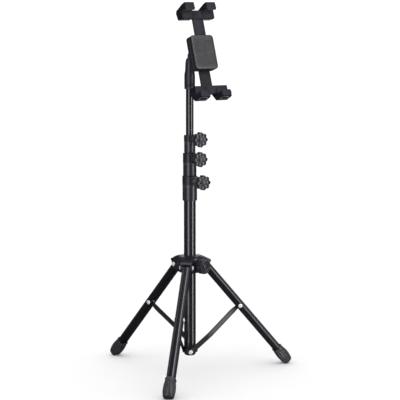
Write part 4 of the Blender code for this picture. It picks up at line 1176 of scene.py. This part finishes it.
# The studio turns about the place where the column's axis meets the floor, give or take a quarter millimetre.
FOOTPRINT = Vector((COLUMN_X + 0.25, COLUMN_Y + 0.25, 0)) * MM
ROOM_COLOUR, ROOM_STRENGTH = (1, 1, 1, 1), 1.10
MIRRORED_COLOUR, MIRRORED_STRENGTH = (0.80, 0.82, 1.0, 1), 0.10
FLOOR_RADIUS = 9000.0


def toward(azimuth, elevation=0.0):
    """The direction from the stand to a point at an azimuth, which is 0 in front and grows to the right."""
    a, e = radians(azimuth), radians(elevation)
    return Vector((sin(a) * cos(e), -cos(a) * cos(e), sin(e)))


def build_camera():
    data = bpy.data.cameras.new("view")
    data.sensor_width = CAMERA_SENSOR
    data.lens = CAMERA_LENS
    camera = bpy.data.objects.new("view", data)
    pieces.objects.link(camera)
    camera.location = FOOTPRINT + toward(CAMERA_AZIMUTH) * CAMERA_REACH + UP * CAMERA_HEIGHT
    look = -toward(CAMERA_AZIMUTH + CAMERA_TURN, CAMERA_PITCH)
    camera.rotation_euler = look.to_track_quat("-Z", "Y").to_euler()
    bpy.context.scene.camera = camera


def softbox(name, azimuth, distance, height, width, tall, radiance, aim=0.40):
    data = bpy.data.lights.new(name, "AREA")
    data.shape = "RECTANGLE"
    data.size, data.size_y = width, tall
    data.energy = radiance * pi * width * tall
    light = bpy.data.objects.new(name, data)
    pieces.objects.link(light)
    light.location = FOOTPRINT + toward(azimuth) * distance + UP * height
    look = (FOOTPRINT + UP * aim - light.location).normalized()
    light.rotation_euler = look.to_track_quat("-Z", "Y").to_euler()
    light.visible_camera = False
    return light


def build_studio(floor):
    """Softboxes that light only the stand, in a white room that looks dark in its reflections."""
    boxes = [
        softbox("left_softbox", CAMERA_AZIMUTH - 27, 1.9, 0.85, 1.00, 2.6, 4.0, 0.75),
        softbox("right_strip", CAMERA_AZIMUTH + 60, 1.9, 1.15, 0.52, 3.6, 9.5, 0.75),
        softbox("left_high_softbox", CAMERA_AZIMUTH - 88, 1.5, 1.9, 0.7, 0.7, 1.4),
        softbox("back_softbox", CAMERA_AZIMUTH + 180, 2.4, 0.9, 0.9, 2.4, 3.0, 0.75),
        softbox("top_softbox", CAMERA_AZIMUTH + 20, 0.35, 2.3, 1.2, 1.2, 1.4),
    ]
    shaded = [o for o in bpy.data.objects if any(word in o.name for word in ("claw", "star_knob", "round_knob"))]
    for box in boxes:
        receivers = bpy.data.collections.new(f"kept_from_{box.name}")
        for item in [floor] + (shaded if "left" in box.name else []):
            receivers.objects.link(item)
        for entry in receivers.collection_objects:
            entry.light_linking.link_state = "EXCLUDE"
        box.light_linking.receiver_collection = receivers
    world = bpy.data.worlds.new("studio")
    bpy.context.scene.world = world
    world.use_nodes = True
    tree = world.node_tree
    tree.nodes.clear()
    output = tree.nodes.new("ShaderNodeOutputWorld")
    path = tree.nodes.new("ShaderNodeLightPath")
    mix = tree.nodes.new("ShaderNodeMixShader")
    tree.links.new(path.outputs["Is Glossy Ray"], mix.inputs["Fac"])
    skies = ((ROOM_COLOUR, ROOM_STRENGTH), (MIRRORED_COLOUR, MIRRORED_STRENGTH))
    for index, (colour, strength) in enumerate(skies):
        sky = tree.nodes.new("ShaderNodeBackground")
        sky.inputs["Color"].default_value = colour
        sky.inputs["Strength"].default_value = strength
        tree.links.new(sky.outputs[0], mix.inputs[1 + index])
    tree.links.new(mix.outputs[0], output.inputs["Surface"])
    bpy.context.scene.view_settings.view_transform = "Standard"


def build_floor():
    """A white disc that is too wide for its rim to be seen."""
    shape = turned([(0, -1.0), (FLOOR_RADIUS, -1.0), (FLOOR_RADIUS, -0.02), (0, -0.02)], 96)
    floor = raw_object("studio_floor", shape, Matrix.Identity(4))
    n = Nodes("studio_floor")
    tone = n.between(n.spread(n.noise(3.0, 3.0), 0.3, 0.7, 0.0, 1.0), (0.955, 0.955, 0.955), (0.97, 0.97, 0.97))
    n.paint(Base_Color=tone, Roughness=0.9, Specular_IOR_Level=0.1)
    floor.data.materials.append(n.material)
    floor.visible_glossy = False
    return floor


build_camera()
build_tubes()
build_collars()
build_bracket()
build_tripod()
build_hub()
build_post()
build_socket()
build_holder()
build_studio(build_floor())
